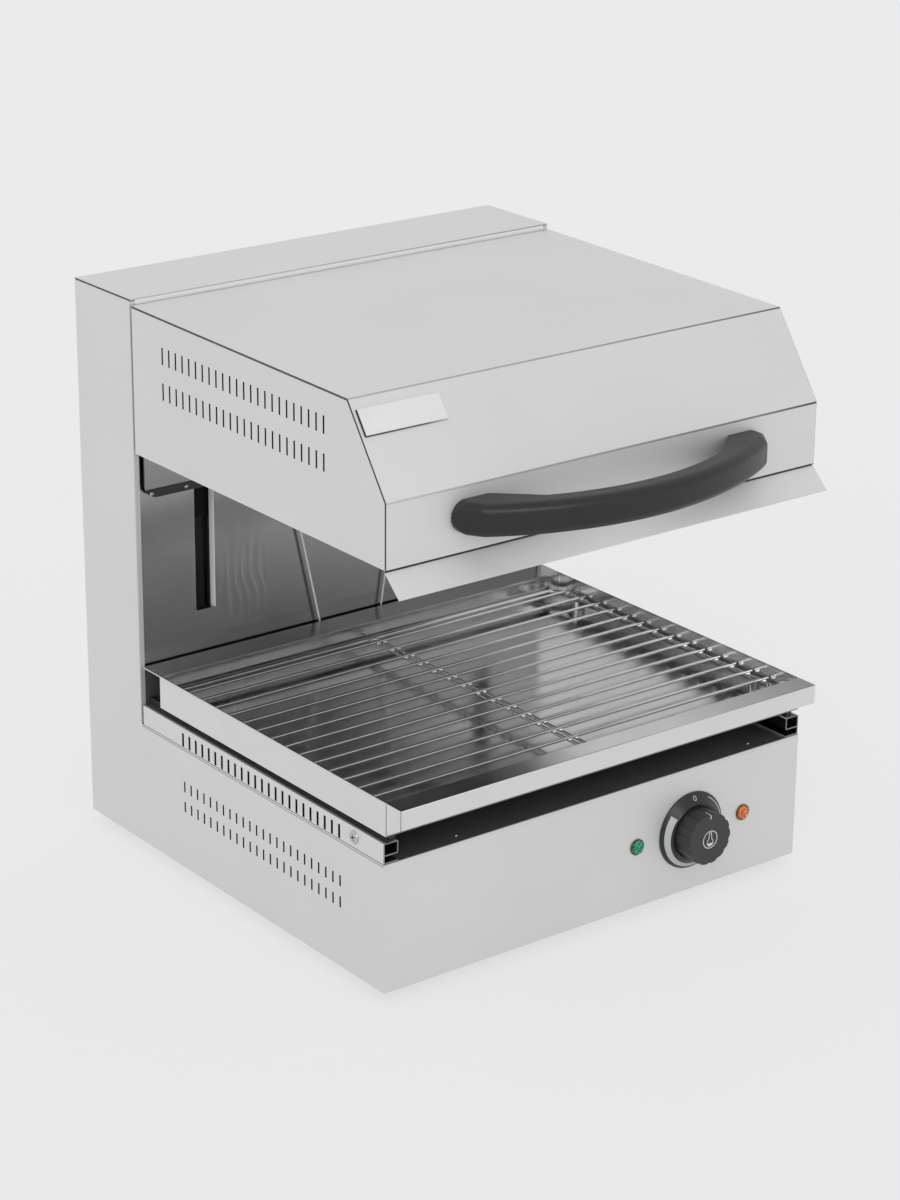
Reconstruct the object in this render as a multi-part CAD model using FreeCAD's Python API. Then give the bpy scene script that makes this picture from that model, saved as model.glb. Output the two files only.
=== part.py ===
import FreeCAD, Part
import math
import os

# Salamander grill: a low cabinet with the controls, a rear column that holds the lift,
# a hood with the heating elements that rises and falls, a drip tray on side rails, and a wire rack in it.
# Millimetres. X runs to the right seen from the front, Y to the back, Z up from under the feet.
# The hood is drawn at the top of its travel and the tray pushed in.

# Body, without feet, handle and gland
body_width = 450.0
body_depth = 450.0
body_height = 500.0
sheet = 1.0
seam_gap = 0.8
base_height = 113.0
column_depth = 89.0
column_flange = 4.5
panel_flange = 12.0
front_panel_flange = 17.0
upstand_below_rim = 4.0
cover_lip = 8.0
bend_radius = 1.5
edge_round = 0.6

# Feet
foot_height = 10.0
foot_top_radius = 16.0
foot_bottom_radius = 14.0
foot_inset = 40.0
foot_recess_depth = 6.0
foot_screw_radius = 3.0
foot_screw_head_radius = 5.5
foot_screw_head_height = 3.5
foot_nut_height = 5.0

# Vent slots in the cabinet and hood sides
vent_count = 24
vent_pitch = 10.1
vent_width = 1.5
base_vent_front = 61.0
base_vent_height = 9.5
base_vent_levels = (54.0, 73.0)
hood_vent_front = 80.0
hood_vent_height = 14.5
hood_vent_levels = (59.0, 90.0)
rear_vent_height = 24.0
rear_vent_level = 140.0
rear_vent_count = 12
rear_vent_pitch = 16.0
rear_vent_width = 3.0

# Rails above the cabinet sides, with the strips that the tray slides on
rail_height = 18.0
rail_width = 14.5
rail_box_height = 11.3
rail_rear_gap = 3.0
rail_slot_front = 62.0
rail_slot_width = 2.5
rail_slot_height = 12.0
rail_slot_lift = 1.0
rail_screw_y = 41.0
rail_screw_head_radius = 5.75
rail_screw_head_height = 1.6
rail_screw_radius = 2.5
rail_screw_length = 6.0
runner_width = 6.0
runner_height = 6.0
runner_setback = 2.0

# Drip tray
tray_inset = 1.5
tray_wall_height = 29.5
tray_back_gap = 2.0
tray_rear_flange = 27.0
tray_front_flange = 20.0
tray_lip_height = 17.0
tray_flap_rise = 11.0
tray_seam = 0.5
tray_corner_tab = 13.0

# Wire rack in the tray
rack_top_below_rim = 10.5
rack_wire_radius = 1.4
rack_frame_radius = 2.5
rack_frame_corner = 12.0
rack_side_gap = 5.5
rack_front_gap = 23.0
rack_rear_gap = 3.0
rack_wire_count = 14
rack_wire_end = 4.0
rack_first_wire = 14.0
rack_last_wire = 17.0
rack_mid_spacing = 7.0
rack_leg_setback = 30.0

# Hood shell
hood_top_step = 5.0
hood_overhang = 2.2
hood_rear_gap = 2.0
hood_side_height = 130.0
hood_front_height = 55.0
hood_slant_run = 50.1
hood_top_fall = 3.8
hood_lip = 12.0
hood_hem = 10.0
deflector_leg = 14.0
deflector_bend_drop = 1.5
deflector_reach = 17.6
deflector_fall = 18.0
shield_drop = 42.0
shield_inset = 7.3
shield_thickness = 1.5
shield_corner = 12.0
shield_strip_height = 7.5
shield_strip_thickness = 1.0

# Reflector and heating elements inside the hood
reflector_rise = 35.0
reflector_front_gap = 13.0
element_count = 3
element_front_gap = 82.2
element_rear_gap = 79.0
element_radius = 4.0
element_bend_radius = 20.0
element_turn_up_radius = 14.0
element_left_gap = 45.0
element_right_gap = 40.0
element_below_reflector = 16.0
element_end_rise = 24.0
element_stud_radius = 2.0
element_stud_length = 12.0
bush_radius = 7.0
bush_height = 6.0
bush_clearance = 0.2
hanger_x = 90.0
hanger_width = 12.0
hanger_thickness = 1.5
hanger_reach = 18.0

# Handle on the hood front
handle_length = 325.0
handle_reach = 65.3
handle_end_reach = 23.8
handle_end_chamfer = 14.0
handle_thickness = 23.6
handle_inner_half = 107.0
handle_inner_end_reach = 16.8
handle_foot_inner_half = 126.0
handle_foot_depth = 3.0
handle_height = 27.5
handle_drop = 16.5
handle_round = 7.5
handle_corner = 10.0
handle_end_bulge = 13.0
handle_screw_x = 146.0
handle_screw_radius = 2.5
handle_screw_depth = 11.0
handle_screw_head_radius = 4.5
handle_screw_head_height = 3.0

# Bare plate on the slanted face of the hood
badge_width = 80.0
badge_height = 23.0
badge_thickness = 1.5
badge_bevel = 1.2
badge_side_gap = 3.0
badge_top_gap = 10.0

# Lift inside the column
hood_travel = 115.0
slot_from_side = 69.75
slot_width = 19.5
slot_end_gap = 8.0
slot_flange = 6.0
slot_top_gap = 12.0
arm_thickness = 4.0
arm_drop = 35.0
arm_top_gap = 20.0
arm_tab_width = 24.0
arm_tab_thickness = 3.0
arm_bolt_radius = 3.0
arm_bolt_head_radius = 5.0
arm_bolt_head_height = 3.0
arm_bolt_gap = 15.0
arm_bolt_spacing = 40.0
carriage_drop = 75.0
carriage_height = 130.0
carriage_setback = 11.0
carriage_thickness = 3.0
carriage_side_gap = 22.0
carriage_ear_length = 26.0
ear_bolt_spacing = 50.0
ear_bolt_setback = 14.0
lug_width = 22.0
lug_length = 17.0
lug_drop = 12.0
lug_height = 11.0
roller_setback = 39.0
roller_radius = 12.5
roller_width = 9.0
roller_gap = 0.4
roller_end_offset = 15.0
channel_wall = 2.0
channel_width = 18.0
axle_radius = 4.0
bore_clearance = 0.05
axle_head_radius = 7.0
axle_head_height = 3.0
pulley_x = 110.0
pulley_setback = 47.0
pulley_radius = 25.0
pulley_width = 10.0
pulley_top_gap = 4.0
pulley_side_gap = 1.0
cable_radius = 1.5
cable_run_radius = 23.5
cable_gap = 0.3
groove_top_half = 3.4
bracket_thickness = 3.0
bracket_length = 24.0
bracket_below_axle = 8.0
beam_thickness = 3.0
beam_below_top = 14.0
beam_setback = 19.0
beam_rear_gap = 3.0
beam_tab_height = 22.0
weight_width = 300.0
weight_thickness = 30.0
weight_height = 131.0
weight_chamfer = 2.0
buffer_height = 11.0
buffer_radius = 10.0
buffer_x = 90.0

# Controls on the front panel
dial_from_side = 123.5
dial_level = 57.0
lamp_offset = 60.3
bezel_radius = 35.0
bezel_rim = 1.5
bezel_top_radius = 26.0
bezel_height = 8.0
bezel_floor = 1.5
knob_radius = 23.5
knob_gap = 0.6
knob_back_gap = 1.0
knob_length = 23.5
knob_face = 3.0
knob_wall = 3.0
knob_hub_radius = 6.5
knob_skirt = 6.0
knob_flutes = 14
flute_radius = 4.5
flute_depth = 0.9
knob_edge = 1.2
shaft_radius = 3.0
shaft_flat = 1.0
shaft_in_knob = 15.0
shaft_in_body = 12.0
bushing_radius = 5.8
bushing_clearance = 0.3
thermostat_size = 44.0
thermostat_depth = 28.0
thermostat_plate = 1.5
thermostat_screw_spacing = 28.0
thermostat_screw_radius = 2.0
thermostat_screw_head_radius = 3.5
thermostat_screw_head_height = 0.8
lamp_ring_radius = 7.25
lamp_ring_height = 1.2
lamp_lens_radius = 6.3
lamp_lens_height = 2.0
lamp_lens_round = 1.2
lamp_tube_radius = 5.9
lamp_tube_length = 26.0

# Supply side at the rear
gland_from_side = 45.0
gland_level = 45.0
gland_thread_radius = 8.0
gland_bore_radius = 5.0
gland_collar_radius = 10.0
gland_collar_length = 6.0
gland_dome_length = 10.0
gland_dome_round = 2.0
gland_inner_length = 9.0
gland_nut_radius = 11.5
gland_nut_height = 4.0
stud_radius = 3.0
stud_outer_length = 16.0
stud_inner_length = 9.0
stud_nut_radius = 5.5
stud_nut_height = 5.0
terminal_width = 36.0
terminal_depth = 24.0
terminal_height = 20.0
terminal_from_back = 100.0
terminal_entry_radius = 3.0
terminal_ways = 3

# Fasteners of the panels
screw_radius = 2.0
screw_head_radius = 4.0
screw_head_height = 1.8
screw_length = 6.0
screw_clearance = 0.2
screw_head_round = 0.4
cover_screw_end_gap = 30.0
deck_screw_left_gap = 81.0
deck_screw_right_gap = 49.0
deck_screw_y = 12.0
deck_screw_radius = 1.0
deck_screw_head_radius = 1.8
deck_screw_head_height = 1.2
shield_screw_radius = 1.2
shield_screw_head_radius = 1.8
shield_screw_inset = 6.0
shield_screw_spacing = 35.0

# Levels and planes that follow from the sizes above
half_width = body_width / 2
fold_radius = 0.9 * sheet
slot_centre_x = half_width - slot_from_side
carriage_end_x = half_width - carriage_side_gap
deck_screw_places = (-half_width + deck_screw_left_gap, half_width - deck_screw_right_gap)
dial_x = half_width - dial_from_side
gland_x = half_width - gland_from_side
floor_z = foot_height
deck_z = floor_z + base_height
rail_seat_z = deck_z + 2 * sheet
rail_top_z = rail_seat_z + rail_height
tray_z = rail_top_z + runner_height
rim_z = tray_z + tray_wall_height
top_z = floor_z + body_height
side_top_z = top_z - sheet - seam_gap
column_y = body_depth - column_depth
cover_y = body_depth - sheet
hood_top_z = top_z - hood_top_step
hood_bottom_z = hood_top_z - hood_side_height
slant_z = hood_bottom_z + hood_front_height
hood_front_y = -hood_overhang
hood_rear_y = column_y - hood_rear_gap
shield_y = hood_rear_y - shield_thickness - sheet / 2
tray_rear_y = column_y - tray_back_gap - tray_rear_flange
back_panel_y = column_y + sheet
beam_z = top_z - beam_below_top
pulley_y = column_y + pulley_setback
pulley_z = beam_z - bracket_thickness - pulley_top_gap - pulley_radius
roller_y = column_y + roller_setback
carriage_z = hood_bottom_z - carriage_drop
carriage_top_z = carriage_z + carriage_height
carriage_y = column_y + carriage_setback
arm_bottom_z = hood_bottom_z - arm_drop
arm_top_z = hood_top_z - arm_top_gap
slot_bottom_z = arm_bottom_z - hood_travel - slot_end_gap
slot_top_z = top_z - slot_top_gap
weight_z = floor_z + sheet + buffer_height
weight_y = pulley_y + cable_run_radius
dial_z = floor_z + dial_level
gland_z = floor_z + gland_level

# The finished solids move back so that the origin is under the middle of the whole outline
outline_front = hood_front_y - handle_reach
outline_rear = body_depth + gland_collar_length + gland_dome_length
origin_y = (outline_front + outline_rear) / 2

Vector = FreeCAD.Vector
along_x = Vector(1, 0, 0)
along_y = Vector(0, 1, 0)
along_z = Vector(0, 0, 1)


def save(node, *solids):
    """Write the solids of one node in the part's frame."""
    shape = solids[0] if len(solids) == 1 else Part.Compound(list(solids))
    shape = shape.copy()
    shape.translate(Vector(0, -origin_y, 0))
    if not shape.isValid():
        print("not valid:", node)
    shape.exportStep("parts/" + node + ".step")


def box(x0, x1, y0, y1, z0, z1):
    return Part.makeBox(x1 - x0, y1 - y0, z1 - z0, Vector(x0, y0, z0))


def rod(x, y, z, direction, length, radius):
    return Part.makeCylinder(radius, length, Vector(x, y, z), direction)


def joined(*solids):
    whole = solids[0]
    for solid in solids[1:]:
        whole = whole.fuse(solid)
    return whole.removeSplitter()


def cut(solid, tools):
    return solid.cut(tools) if tools else solid


def mirrored(solid):
    return solid.mirror(Vector(0, 0, 0), along_x)


def pair(solid):
    return [solid, mirrored(solid)]


def prism(points, direction):
    """Extrude a closed outline of straight sides."""
    corners = [Vector(*p) for p in points]
    return Part.Face(Part.makePolygon(corners + corners[:1])).extrude(direction)


def prism_x(outline, x0, x1):
    return prism([(x0, y, z) for y, z in outline], Vector(x1 - x0, 0, 0))


def prism_z(outline, z0, z1):
    return prism([(x, y, z0) for x, y in outline], Vector(0, 0, z1 - z0))


def upright_slot(y, z0, z1, width, x0, x1):
    """A slot with round ends through a sheet that faces X."""
    r = width / 2
    low, high = z0 + r, z1 - r
    sides = [
        Part.LineSegment(Vector(x0, y - r, low), Vector(x0, y - r, high)),
        Part.Arc(Vector(x0, y - r, high), Vector(x0, y, z1), Vector(x0, y + r, high)),
        Part.LineSegment(Vector(x0, y + r, high), Vector(x0, y + r, low)),
        Part.Arc(Vector(x0, y + r, low), Vector(x0, y, z0), Vector(x0, y - r, low)),
    ]
    wire = Part.Wire([side.toShape() for side in sides])
    return Part.Face(wire).extrude(Vector(x1 - x0, 0, 0))


def slot_row(first_y, count, pitch, z0, height, width, x0, x1):
    return [upright_slot(first_y + i * pitch, z0, z0 + height, width, x0, x1) for i in range(count)]


def edges_at(solid, direction, places):
    """Straight edges along a direction that pass through places given by their two other coordinates."""
    found = []
    for edge in solid.Edges:
        a, b = edge.Vertexes[0].Point, edge.Vertexes[-1].Point
        if (b - a).Length < 1e-6 or (b - a).cross(direction).Length > 1e-6:
            continue
        for place in places:
            offset = a - place
            if offset.cross(direction).Length < 1e-4:
                found.append(edge)
    return found


def inset(outline, distances):
    """Move each side of a closed outline inwards by its own distance; sides run anticlockwise."""
    lines = []
    count = len(outline)
    for i in range(count):
        (ax, ay), (bx, by) = outline[i], outline[(i + 1) % count]
        length = math.hypot(bx - ax, by - ay)
        nx, ny = -(by - ay) / length, (bx - ax) / length
        lines.append((nx, ny, nx * ax + ny * ay + distances[i]))
    corners = []
    for i in range(count):
        a, b, c = lines[i - 1]
        d, e, f = lines[i]
        det = a * e - b * d
        corners.append(((c * e - b * f) / det, (a * f - c * d) / det))
    return corners


def pan_screw(x, y, z, outwards, head_radius, head_height, radius, length):
    """A screw whose head stands on the surface at x, y, z, with its shank going inwards."""
    at = Vector(x, y, z)
    head = Part.makeCylinder(head_radius, head_height, at, outwards)
    rim = max(head.Edges, key=lambda e: (e.CenterOfMass - at).dot(outwards))
    head = head.makeFillet(head_height * screw_head_round, [rim])
    shank = Part.makeCylinder(radius, length, at, outwards * -1)
    return joined(head, shank)


# Cabinet and column

def side_panel():
    left = -half_width
    outline = [
        (sheet, floor_z), (body_depth, floor_z), (body_depth, side_top_z),
        (column_y, side_top_z), (column_y, rail_seat_z), (sheet, rail_seat_z),
    ]
    plate = prism_x(outline, left, left + sheet)
    rail_seat = box(left, left + rail_width + sheet, sheet, column_y - rail_rear_gap,
                    rail_seat_z - sheet, rail_seat_z)
    front_flange = box(left, left + column_flange, column_y, column_y + sheet, rail_seat_z, side_top_z)
    rear_flange = box(left, left + panel_flange, cover_y - sheet, cover_y,
                      floor_z + sheet, side_top_z - cover_lip)
    panel = joined(plate, rail_seat, front_flange, rear_flange)
    tools = []
    for level in base_vent_levels:
        tools += slot_row(base_vent_front, vent_count, vent_pitch, floor_z + level,
                          base_vent_height, vent_width, left - sheet, left + 2 * sheet)
    for z in cover_screw_levels():
        tools.append(rod(left + panel_flange / 2 + sheet, cover_y - 2 * sheet, z, along_y,
                         4 * sheet, screw_radius + screw_clearance))
    return cut(panel, tools)


def cover_screw_levels():
    low = floor_z + cover_screw_end_gap
    high = side_top_z - cover_lip - cover_screw_end_gap
    return [low, (low + high) / 2, high]


def front_panel():
    plate = box(-half_width, half_width, 0, sheet, floor_z, deck_z)
    flange = box(-half_width + sheet, half_width - sheet, sheet / 2, front_panel_flange,
                 deck_z - sheet, deck_z)
    panel = joined(plate, flange)
    front_edge = edges_at(panel, along_x, [Vector(0, 0, deck_z)])
    panel = panel.makeFillet(fold_radius, front_edge)
    holes = [rod(dial_x, -sheet, dial_z, along_y, 3 * sheet, bushing_radius + bushing_clearance)]
    for side in (-1, 1):
        holes.append(rod(dial_x + side * lamp_offset, -sheet, dial_z, along_y, 3 * sheet,
                         lamp_tube_radius + screw_clearance))
        holes.append(rod(dial_x + side * thermostat_screw_spacing / 2, -sheet, dial_z, along_y, 3 * sheet,
                         thermostat_screw_radius + screw_clearance))
    for x in deck_screw_places:
        holes.append(rod(x, deck_screw_y, deck_z - 2 * sheet, along_z, 3 * sheet,
                         deck_screw_radius + screw_clearance))
    return cut(panel, holes)


def base_deck():
    inner = half_width - sheet
    plate = box(-inner, inner, sheet, column_y + sheet, deck_z, deck_z + sheet)
    upright_half = half_width - column_flange - screw_clearance
    upstand = box(-upright_half, upright_half, column_y, column_y + sheet, deck_z + sheet,
                  rim_z - upstand_below_rim)
    deck = joined(plate, upstand)
    holes = [rod(x, deck_screw_y, deck_z - sheet, along_z, 3 * sheet, deck_screw_radius + screw_clearance)
             for x in deck_screw_places]
    return cut(deck, holes)


def deck_screws():
    return [pan_screw(x, deck_screw_y, deck_z + sheet, along_z, deck_screw_head_radius,
                      deck_screw_head_height, deck_screw_radius, screw_length) for x in deck_screw_places]


def foot_places():
    return [(x, y) for x in (-half_width + foot_inset, half_width - foot_inset)
            for y in (foot_inset, body_depth - foot_inset)]


def bottom_plate():
    inner = half_width - sheet
    plate = box(-inner, inner, sheet, cover_y, floor_z, floor_z + sheet)
    holes = [rod(x, y, floor_z - sheet, along_z, 3 * sheet, foot_screw_radius + screw_clearance)
             for x, y in foot_places()]
    return cut(plate, holes)


def rubber_feet():
    feet = []
    for x, y in foot_places():
        foot = Part.makeCone(foot_bottom_radius, foot_top_radius, foot_height, Vector(x, y, 0), along_z)
        recess = rod(x, y, 0, along_z, foot_recess_depth, foot_screw_head_radius + screw_clearance)
        bore = rod(x, y, 0, along_z, foot_height, foot_screw_radius + screw_clearance)
        feet.append(cut(foot, [recess, bore]))
    return feet


def foot_screws():
    screws = []
    length = foot_height - foot_recess_depth + sheet + foot_nut_height
    for x, y in foot_places():
        screws.append(pan_screw(x, y, foot_recess_depth, along_z * -1, foot_screw_head_radius,
                                foot_screw_head_height, foot_screw_radius, length))
    return screws


def hex_nut(x, y, z, direction, radius, height, bore):
    """A hexagonal nut from corner to corner twice its radius."""
    if abs(direction.z) > 0.5:
        corners = [Vector(x + radius * math.cos(a), y + radius * math.sin(a), z) for a in hex_angles()]
    else:
        corners = [Vector(x + radius * math.cos(a), y, z + radius * math.sin(a)) for a in hex_angles()]
    nut = Part.Face(Part.makePolygon(corners + corners[:1])).extrude(direction * height)
    return nut.cut(Part.makeCylinder(bore, height, Vector(x, y, z), direction))


def hex_angles():
    return [math.radians(60 * i) for i in range(6)]


def foot_nuts():
    return [hex_nut(x, y, floor_z + sheet, along_z, foot_screw_head_radius, foot_nut_height,
                    foot_screw_radius + bore_clearance) for x, y in foot_places()]


def column_top_cover():
    plate = box(-half_width, half_width, column_y, body_depth, top_z - sheet, top_z)
    inner = half_width - sheet
    lip_z = top_z - sheet - cover_lip
    lip_front = column_y + 3 * sheet
    side_lips = [box(-inner, -inner + sheet, lip_front, cover_y - sheet, lip_z, top_z),
                 box(inner - sheet, inner, lip_front, cover_y - sheet, lip_z, top_z)]
    front_half = half_width - column_flange - screw_clearance
    front_lip = box(-front_half, front_half, column_y, column_y + sheet, lip_z, top_z)
    cover = joined(plate, front_lip, *side_lips)
    front_edge = edges_at(cover, along_x, [Vector(0, column_y, top_z)])
    return cover.makeFillet(fold_radius, front_edge)


def column_rear_cover():
    inner = half_width - sheet
    cover = box(-inner, inner, cover_y, body_depth, floor_z, top_z - sheet)
    tools = [rod(side * (half_width - panel_flange / 2 - sheet), cover_y - sheet, z, along_y, 3 * sheet,
                 screw_radius + screw_clearance) for side in (-1, 1) for z in cover_screw_levels()]
    tools.append(rod(-gland_x, cover_y - sheet, gland_z, along_y, 3 * sheet,
                     gland_thread_radius + screw_clearance))
    tools.append(rod(gland_x, cover_y - sheet, gland_z, along_y, 3 * sheet, stud_radius + screw_clearance))
    vent_z = top_z - rear_vent_level
    for i in range(rear_vent_count):
        x = (i - (rear_vent_count - 1) / 2) * rear_vent_pitch
        slot = upright_slot(0, vent_z, vent_z + rear_vent_height, rear_vent_width, -2 * sheet, 2 * sheet)
        slot.rotate(Vector(0, 0, 0), along_z, 90)
        slot.translate(Vector(x, body_depth, 0))
        tools.append(slot)
    return cut(cover, tools)


def cover_screws():
    return [pan_screw(side * (half_width - panel_flange / 2 - sheet), body_depth, z, along_y,
                      screw_head_radius, screw_head_height, screw_radius, screw_length)
            for side in (-1, 1) for z in cover_screw_levels()]


def back_panel():
    """The polished wall behind the grill, with two slots for the lift arms, edged by flanges."""
    inner = half_width - sheet - seam_gap / 2
    panel = box(-inner, inner, back_panel_y, back_panel_y + sheet, deck_z + sheet, side_top_z)
    flange_rear = back_panel_y + sheet + slot_flange
    for side in (-1, 1):
        low_x = side * slot_centre_x - slot_width / 2
        high_x = low_x + slot_width
        frame = box(low_x - sheet, high_x + sheet, back_panel_y, flange_rear,
                    slot_bottom_z - sheet, slot_top_z + sheet)
        hole = box(low_x, high_x, back_panel_y - sheet, flange_rear + sheet, slot_bottom_z, slot_top_z)
        panel = panel.fuse(frame).cut(hole)
    return panel.removeSplitter()


# Rails and runners

def rail():
    left = -half_width
    inner = left + rail_width
    box_z = rail_top_z - rail_box_height
    tube = box(left, inner, sheet, column_y - rail_rear_gap, box_z, rail_top_z)
    rounded = edges_at(tube, along_y, [Vector(inner, 0, box_z), Vector(inner, 0, rail_top_z),
                                       Vector(left, 0, rail_top_z)])
    tube = tube.makeFillet(bend_radius, rounded)
    hollow = box(left + sheet, inner - sheet, 0, column_y, box_z + sheet, rail_top_z - sheet)
    hollow_round = edges_at(hollow, along_y, [Vector(inner - sheet, 0, box_z + sheet)])
    hollow = hollow.makeFillet(edge_round, hollow_round)
    rear = column_y - rail_rear_gap
    web = box(left, left + sheet, sheet, rear, rail_seat_z, box_z + sheet)
    foot = box(left, inner, sheet, rear, rail_seat_z, rail_seat_z + sheet)
    tools = slot_row(rail_slot_front, vent_count, vent_pitch, rail_seat_z + rail_slot_lift,
                     rail_slot_height, rail_slot_width, left - sheet, left + sheet)
    tools.append(rod(left - sheet, rail_screw_y, rail_screw_z(), along_x, rail_screw_length + 2 * sheet,
                     rail_screw_radius + screw_clearance))
    return cut(joined(tube.cut(hollow), web, foot), tools)


def rail_screw_z():
    return rail_top_z - rail_box_height / 2 - 3 * sheet


def rail_screws():
    screw = pan_screw(-half_width, rail_screw_y, rail_screw_z(), along_x * -1, rail_screw_head_radius,
                      rail_screw_head_height, rail_screw_radius, rail_screw_length)
    return pair(screw)


def tray_runners():
    inner = -half_width + rail_width - bend_radius
    return pair(box(inner - runner_width, inner, sheet + runner_setback,
                    column_y - rail_rear_gap, rail_top_z, tray_z))


# Drip tray and rack

def tray_pan():
    """A folded pan with a flange at the back and a flange with a lip at the front."""
    outer = half_width - tray_inset
    inner = outer - sheet
    body = box(-outer, outer, 0, tray_rear_y, tray_z, rim_z)
    hollow = box(-inner, inner, sheet, tray_rear_y - sheet, tray_z + sheet, rim_z + sheet)
    pan = body.cut(hollow)
    rear = box(-outer, outer, tray_rear_y - sheet, tray_rear_y + tray_rear_flange, rim_z - sheet, rim_z)
    front = box(-outer, outer, -tray_front_flange, sheet, rim_z - sheet, rim_z)
    lip = box(-outer, outer, -tray_front_flange, -tray_front_flange + sheet, rim_z - tray_lip_height, rim_z)
    flap_outline = [
        (-tray_front_flange, rim_z - tray_lip_height), (-tray_seam, rim_z - tray_lip_height - tray_flap_rise),
        (-tray_seam, rim_z), (-tray_front_flange, rim_z),
    ]
    flap = prism_x(flap_outline, -outer, -inner)
    pan = joined(pan, rear, front, lip, *pair(flap))
    tab = box(-inner, -inner + tray_corner_tab, tray_rear_y - 2 * sheet, tray_rear_y - sheet,
              tray_z + sheet, rim_z - sheet)
    pan = joined(pan, *pair(tab))
    folds = [Vector(0, -tray_front_flange, rim_z)]
    return pan.makeFillet(fold_radius, edges_at(pan, along_x, folds))


def rack_edges():
    """Centre lines of the rack's frame wire: side, front and rear."""
    side = half_width - tray_inset - sheet - rack_side_gap
    return side, sheet + rack_front_gap, tray_rear_y - sheet - rack_rear_gap


def rack_wire_z():
    return rim_z - rack_top_below_rim - rack_wire_radius


def rack_frame_z():
    return rack_wire_z() - rack_wire_radius - rack_frame_radius


def rack_frame():
    side, front, rear = rack_edges()
    z = rack_frame_z()
    c = rack_frame_corner
    bend = c * (1 - math.sqrt(0.5))
    corners = [(side, front, -1, 1), (side, rear, -1, -1), (-side, rear, 1, -1), (-side, front, 1, 1)]
    sides = []
    last = None
    for x, y, dx, dy in corners:
        upright = Vector(x, y + dy * c, z)
        level = Vector(x + dx * c, y, z)
        a, b = (level, upright) if dx * dy < 0 else (upright, level)
        middle = Vector(x + dx * bend, y + dy * bend, z)
        if last is not None:
            sides.append(Part.LineSegment(last, a).toShape())
        sides.append(Part.Arc(a, middle, b).toShape())
        last = b
    x, y, dx, dy = corners[0]
    first = Vector(x + dx * c, y, z)
    sides.append(Part.LineSegment(last, first).toShape())
    path = Part.Wire(sides)
    section = Part.Wire([Part.Circle(first, along_x, rack_frame_radius).toShape()])
    ring = path.makePipeShell([section], True, False)
    legs = []
    for leg_x in (-side, side):
        for leg_y in (front + rack_leg_setback, rear - rack_leg_setback):
            legs.append(rod(leg_x, leg_y, tray_z + sheet, along_z, z - tray_z - sheet, rack_frame_radius))
    return joined(ring, *legs)


def rack_wire_places():
    side, front, rear = rack_edges()
    first = front + rack_first_wire
    pitch = (rear - rack_last_wire - first) / (rack_wire_count - 1)
    return [first + i * pitch for i in range(rack_wire_count)]


def rack_wires():
    side, front, rear = rack_edges()
    half = side + rack_wire_end
    return [rod(-half, y, rack_wire_z(), along_x, 2 * half, rack_wire_radius) for y in rack_wire_places()]


def rack_middle():
    """A hairpin of wire under the cross wires, halfway along them."""
    side, front, rear = rack_edges()
    z = rack_wire_z() - 2 * rack_wire_radius
    r = rack_mid_spacing / 2
    start = front + rack_frame_radius
    end = rear - rack_frame_radius - rack_wire_radius - r
    path = Part.Wire([
        Part.LineSegment(Vector(-r, start, z), Vector(-r, end, z)).toShape(),
        Part.Arc(Vector(-r, end, z), Vector(0, end + r, z), Vector(r, end, z)).toShape(),
        Part.LineSegment(Vector(r, end, z), Vector(r, start, z)).toShape(),
    ])
    section = Part.Wire([Part.Circle(Vector(-r, start, z), along_y, rack_wire_radius).toShape()])
    return path.makePipeShell([section], True, False)


# Hood

def hood_outline():
    """Outline of the hood seen from the right, anticlockwise in Y and Z from the lower front."""
    return [
        (hood_front_y, hood_bottom_z), (hood_rear_y, hood_bottom_z), (hood_rear_y, hood_top_z),
        (hood_front_y + hood_slant_run, hood_top_z - hood_top_fall), (hood_front_y, slant_z),
    ]


def hood_underside(y):
    """Height of the inside of the hood's top, which falls a little towards the front."""
    run = hood_rear_y - hood_front_y - hood_slant_run
    return hood_top_z - hood_top_fall * (hood_rear_y - y) / run - sheet * math.hypot(1, hood_top_fall / run)


def hood_shell():
    outer = hood_outline()
    below = 2 * sheet
    whole = prism_x(outer, -half_width, half_width)
    bends = edges_at(whole, along_x, [Vector(0, *outer[3]), Vector(0, *outer[4])])
    whole = whole.makeFillet(bend_radius, bends)
    inner = inset(outer, [-below, -below, sheet, sheet, sheet])
    room = prism_x(inner, -half_width, half_width)
    bends = edges_at(room, along_x, [Vector(0, *inner[3]), Vector(0, *inner[4])])
    room = room.makeFillet(edge_round, bends)
    skin = whole.cut(room)
    lip_outer = inset(outer, [0, 0, sheet / 2, sheet / 2, sheet / 2])
    lip_inner = inset(outer, [-below, -below, hood_lip, hood_lip, hood_lip])
    lip_x = half_width - sheet
    lip = prism_x(lip_outer, -lip_x, -lip_x + sheet).cut(prism_x(lip_inner, -half_width, 0))
    holes = [rod(side * handle_screw_x, hood_front_y - sheet, handle_z() + handle_height / 2, along_y,
                 3 * sheet, handle_screw_radius + screw_clearance) for side in (-1, 1)]
    return cut(joined(skin, *pair(lip)), holes)


def hood_side():
    left = -half_width
    gap = sheet + seam_gap
    outline = inset(hood_outline(), [0, 0, gap, gap, gap])
    plate = prism_x(outline, left, left + sheet)
    hem = box(left, left + hood_hem, hood_front_y + gap + hood_lip, shield_y - sheet,
              hood_bottom_z, hood_bottom_z + sheet)
    side = joined(plate, hem)
    tools = []
    for level in hood_vent_levels:
        tools += slot_row(hood_vent_front, vent_count, vent_pitch, hood_bottom_z + level,
                          hood_vent_height, vent_width, left - sheet, left + 2 * sheet)
    return cut(side, tools)


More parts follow.
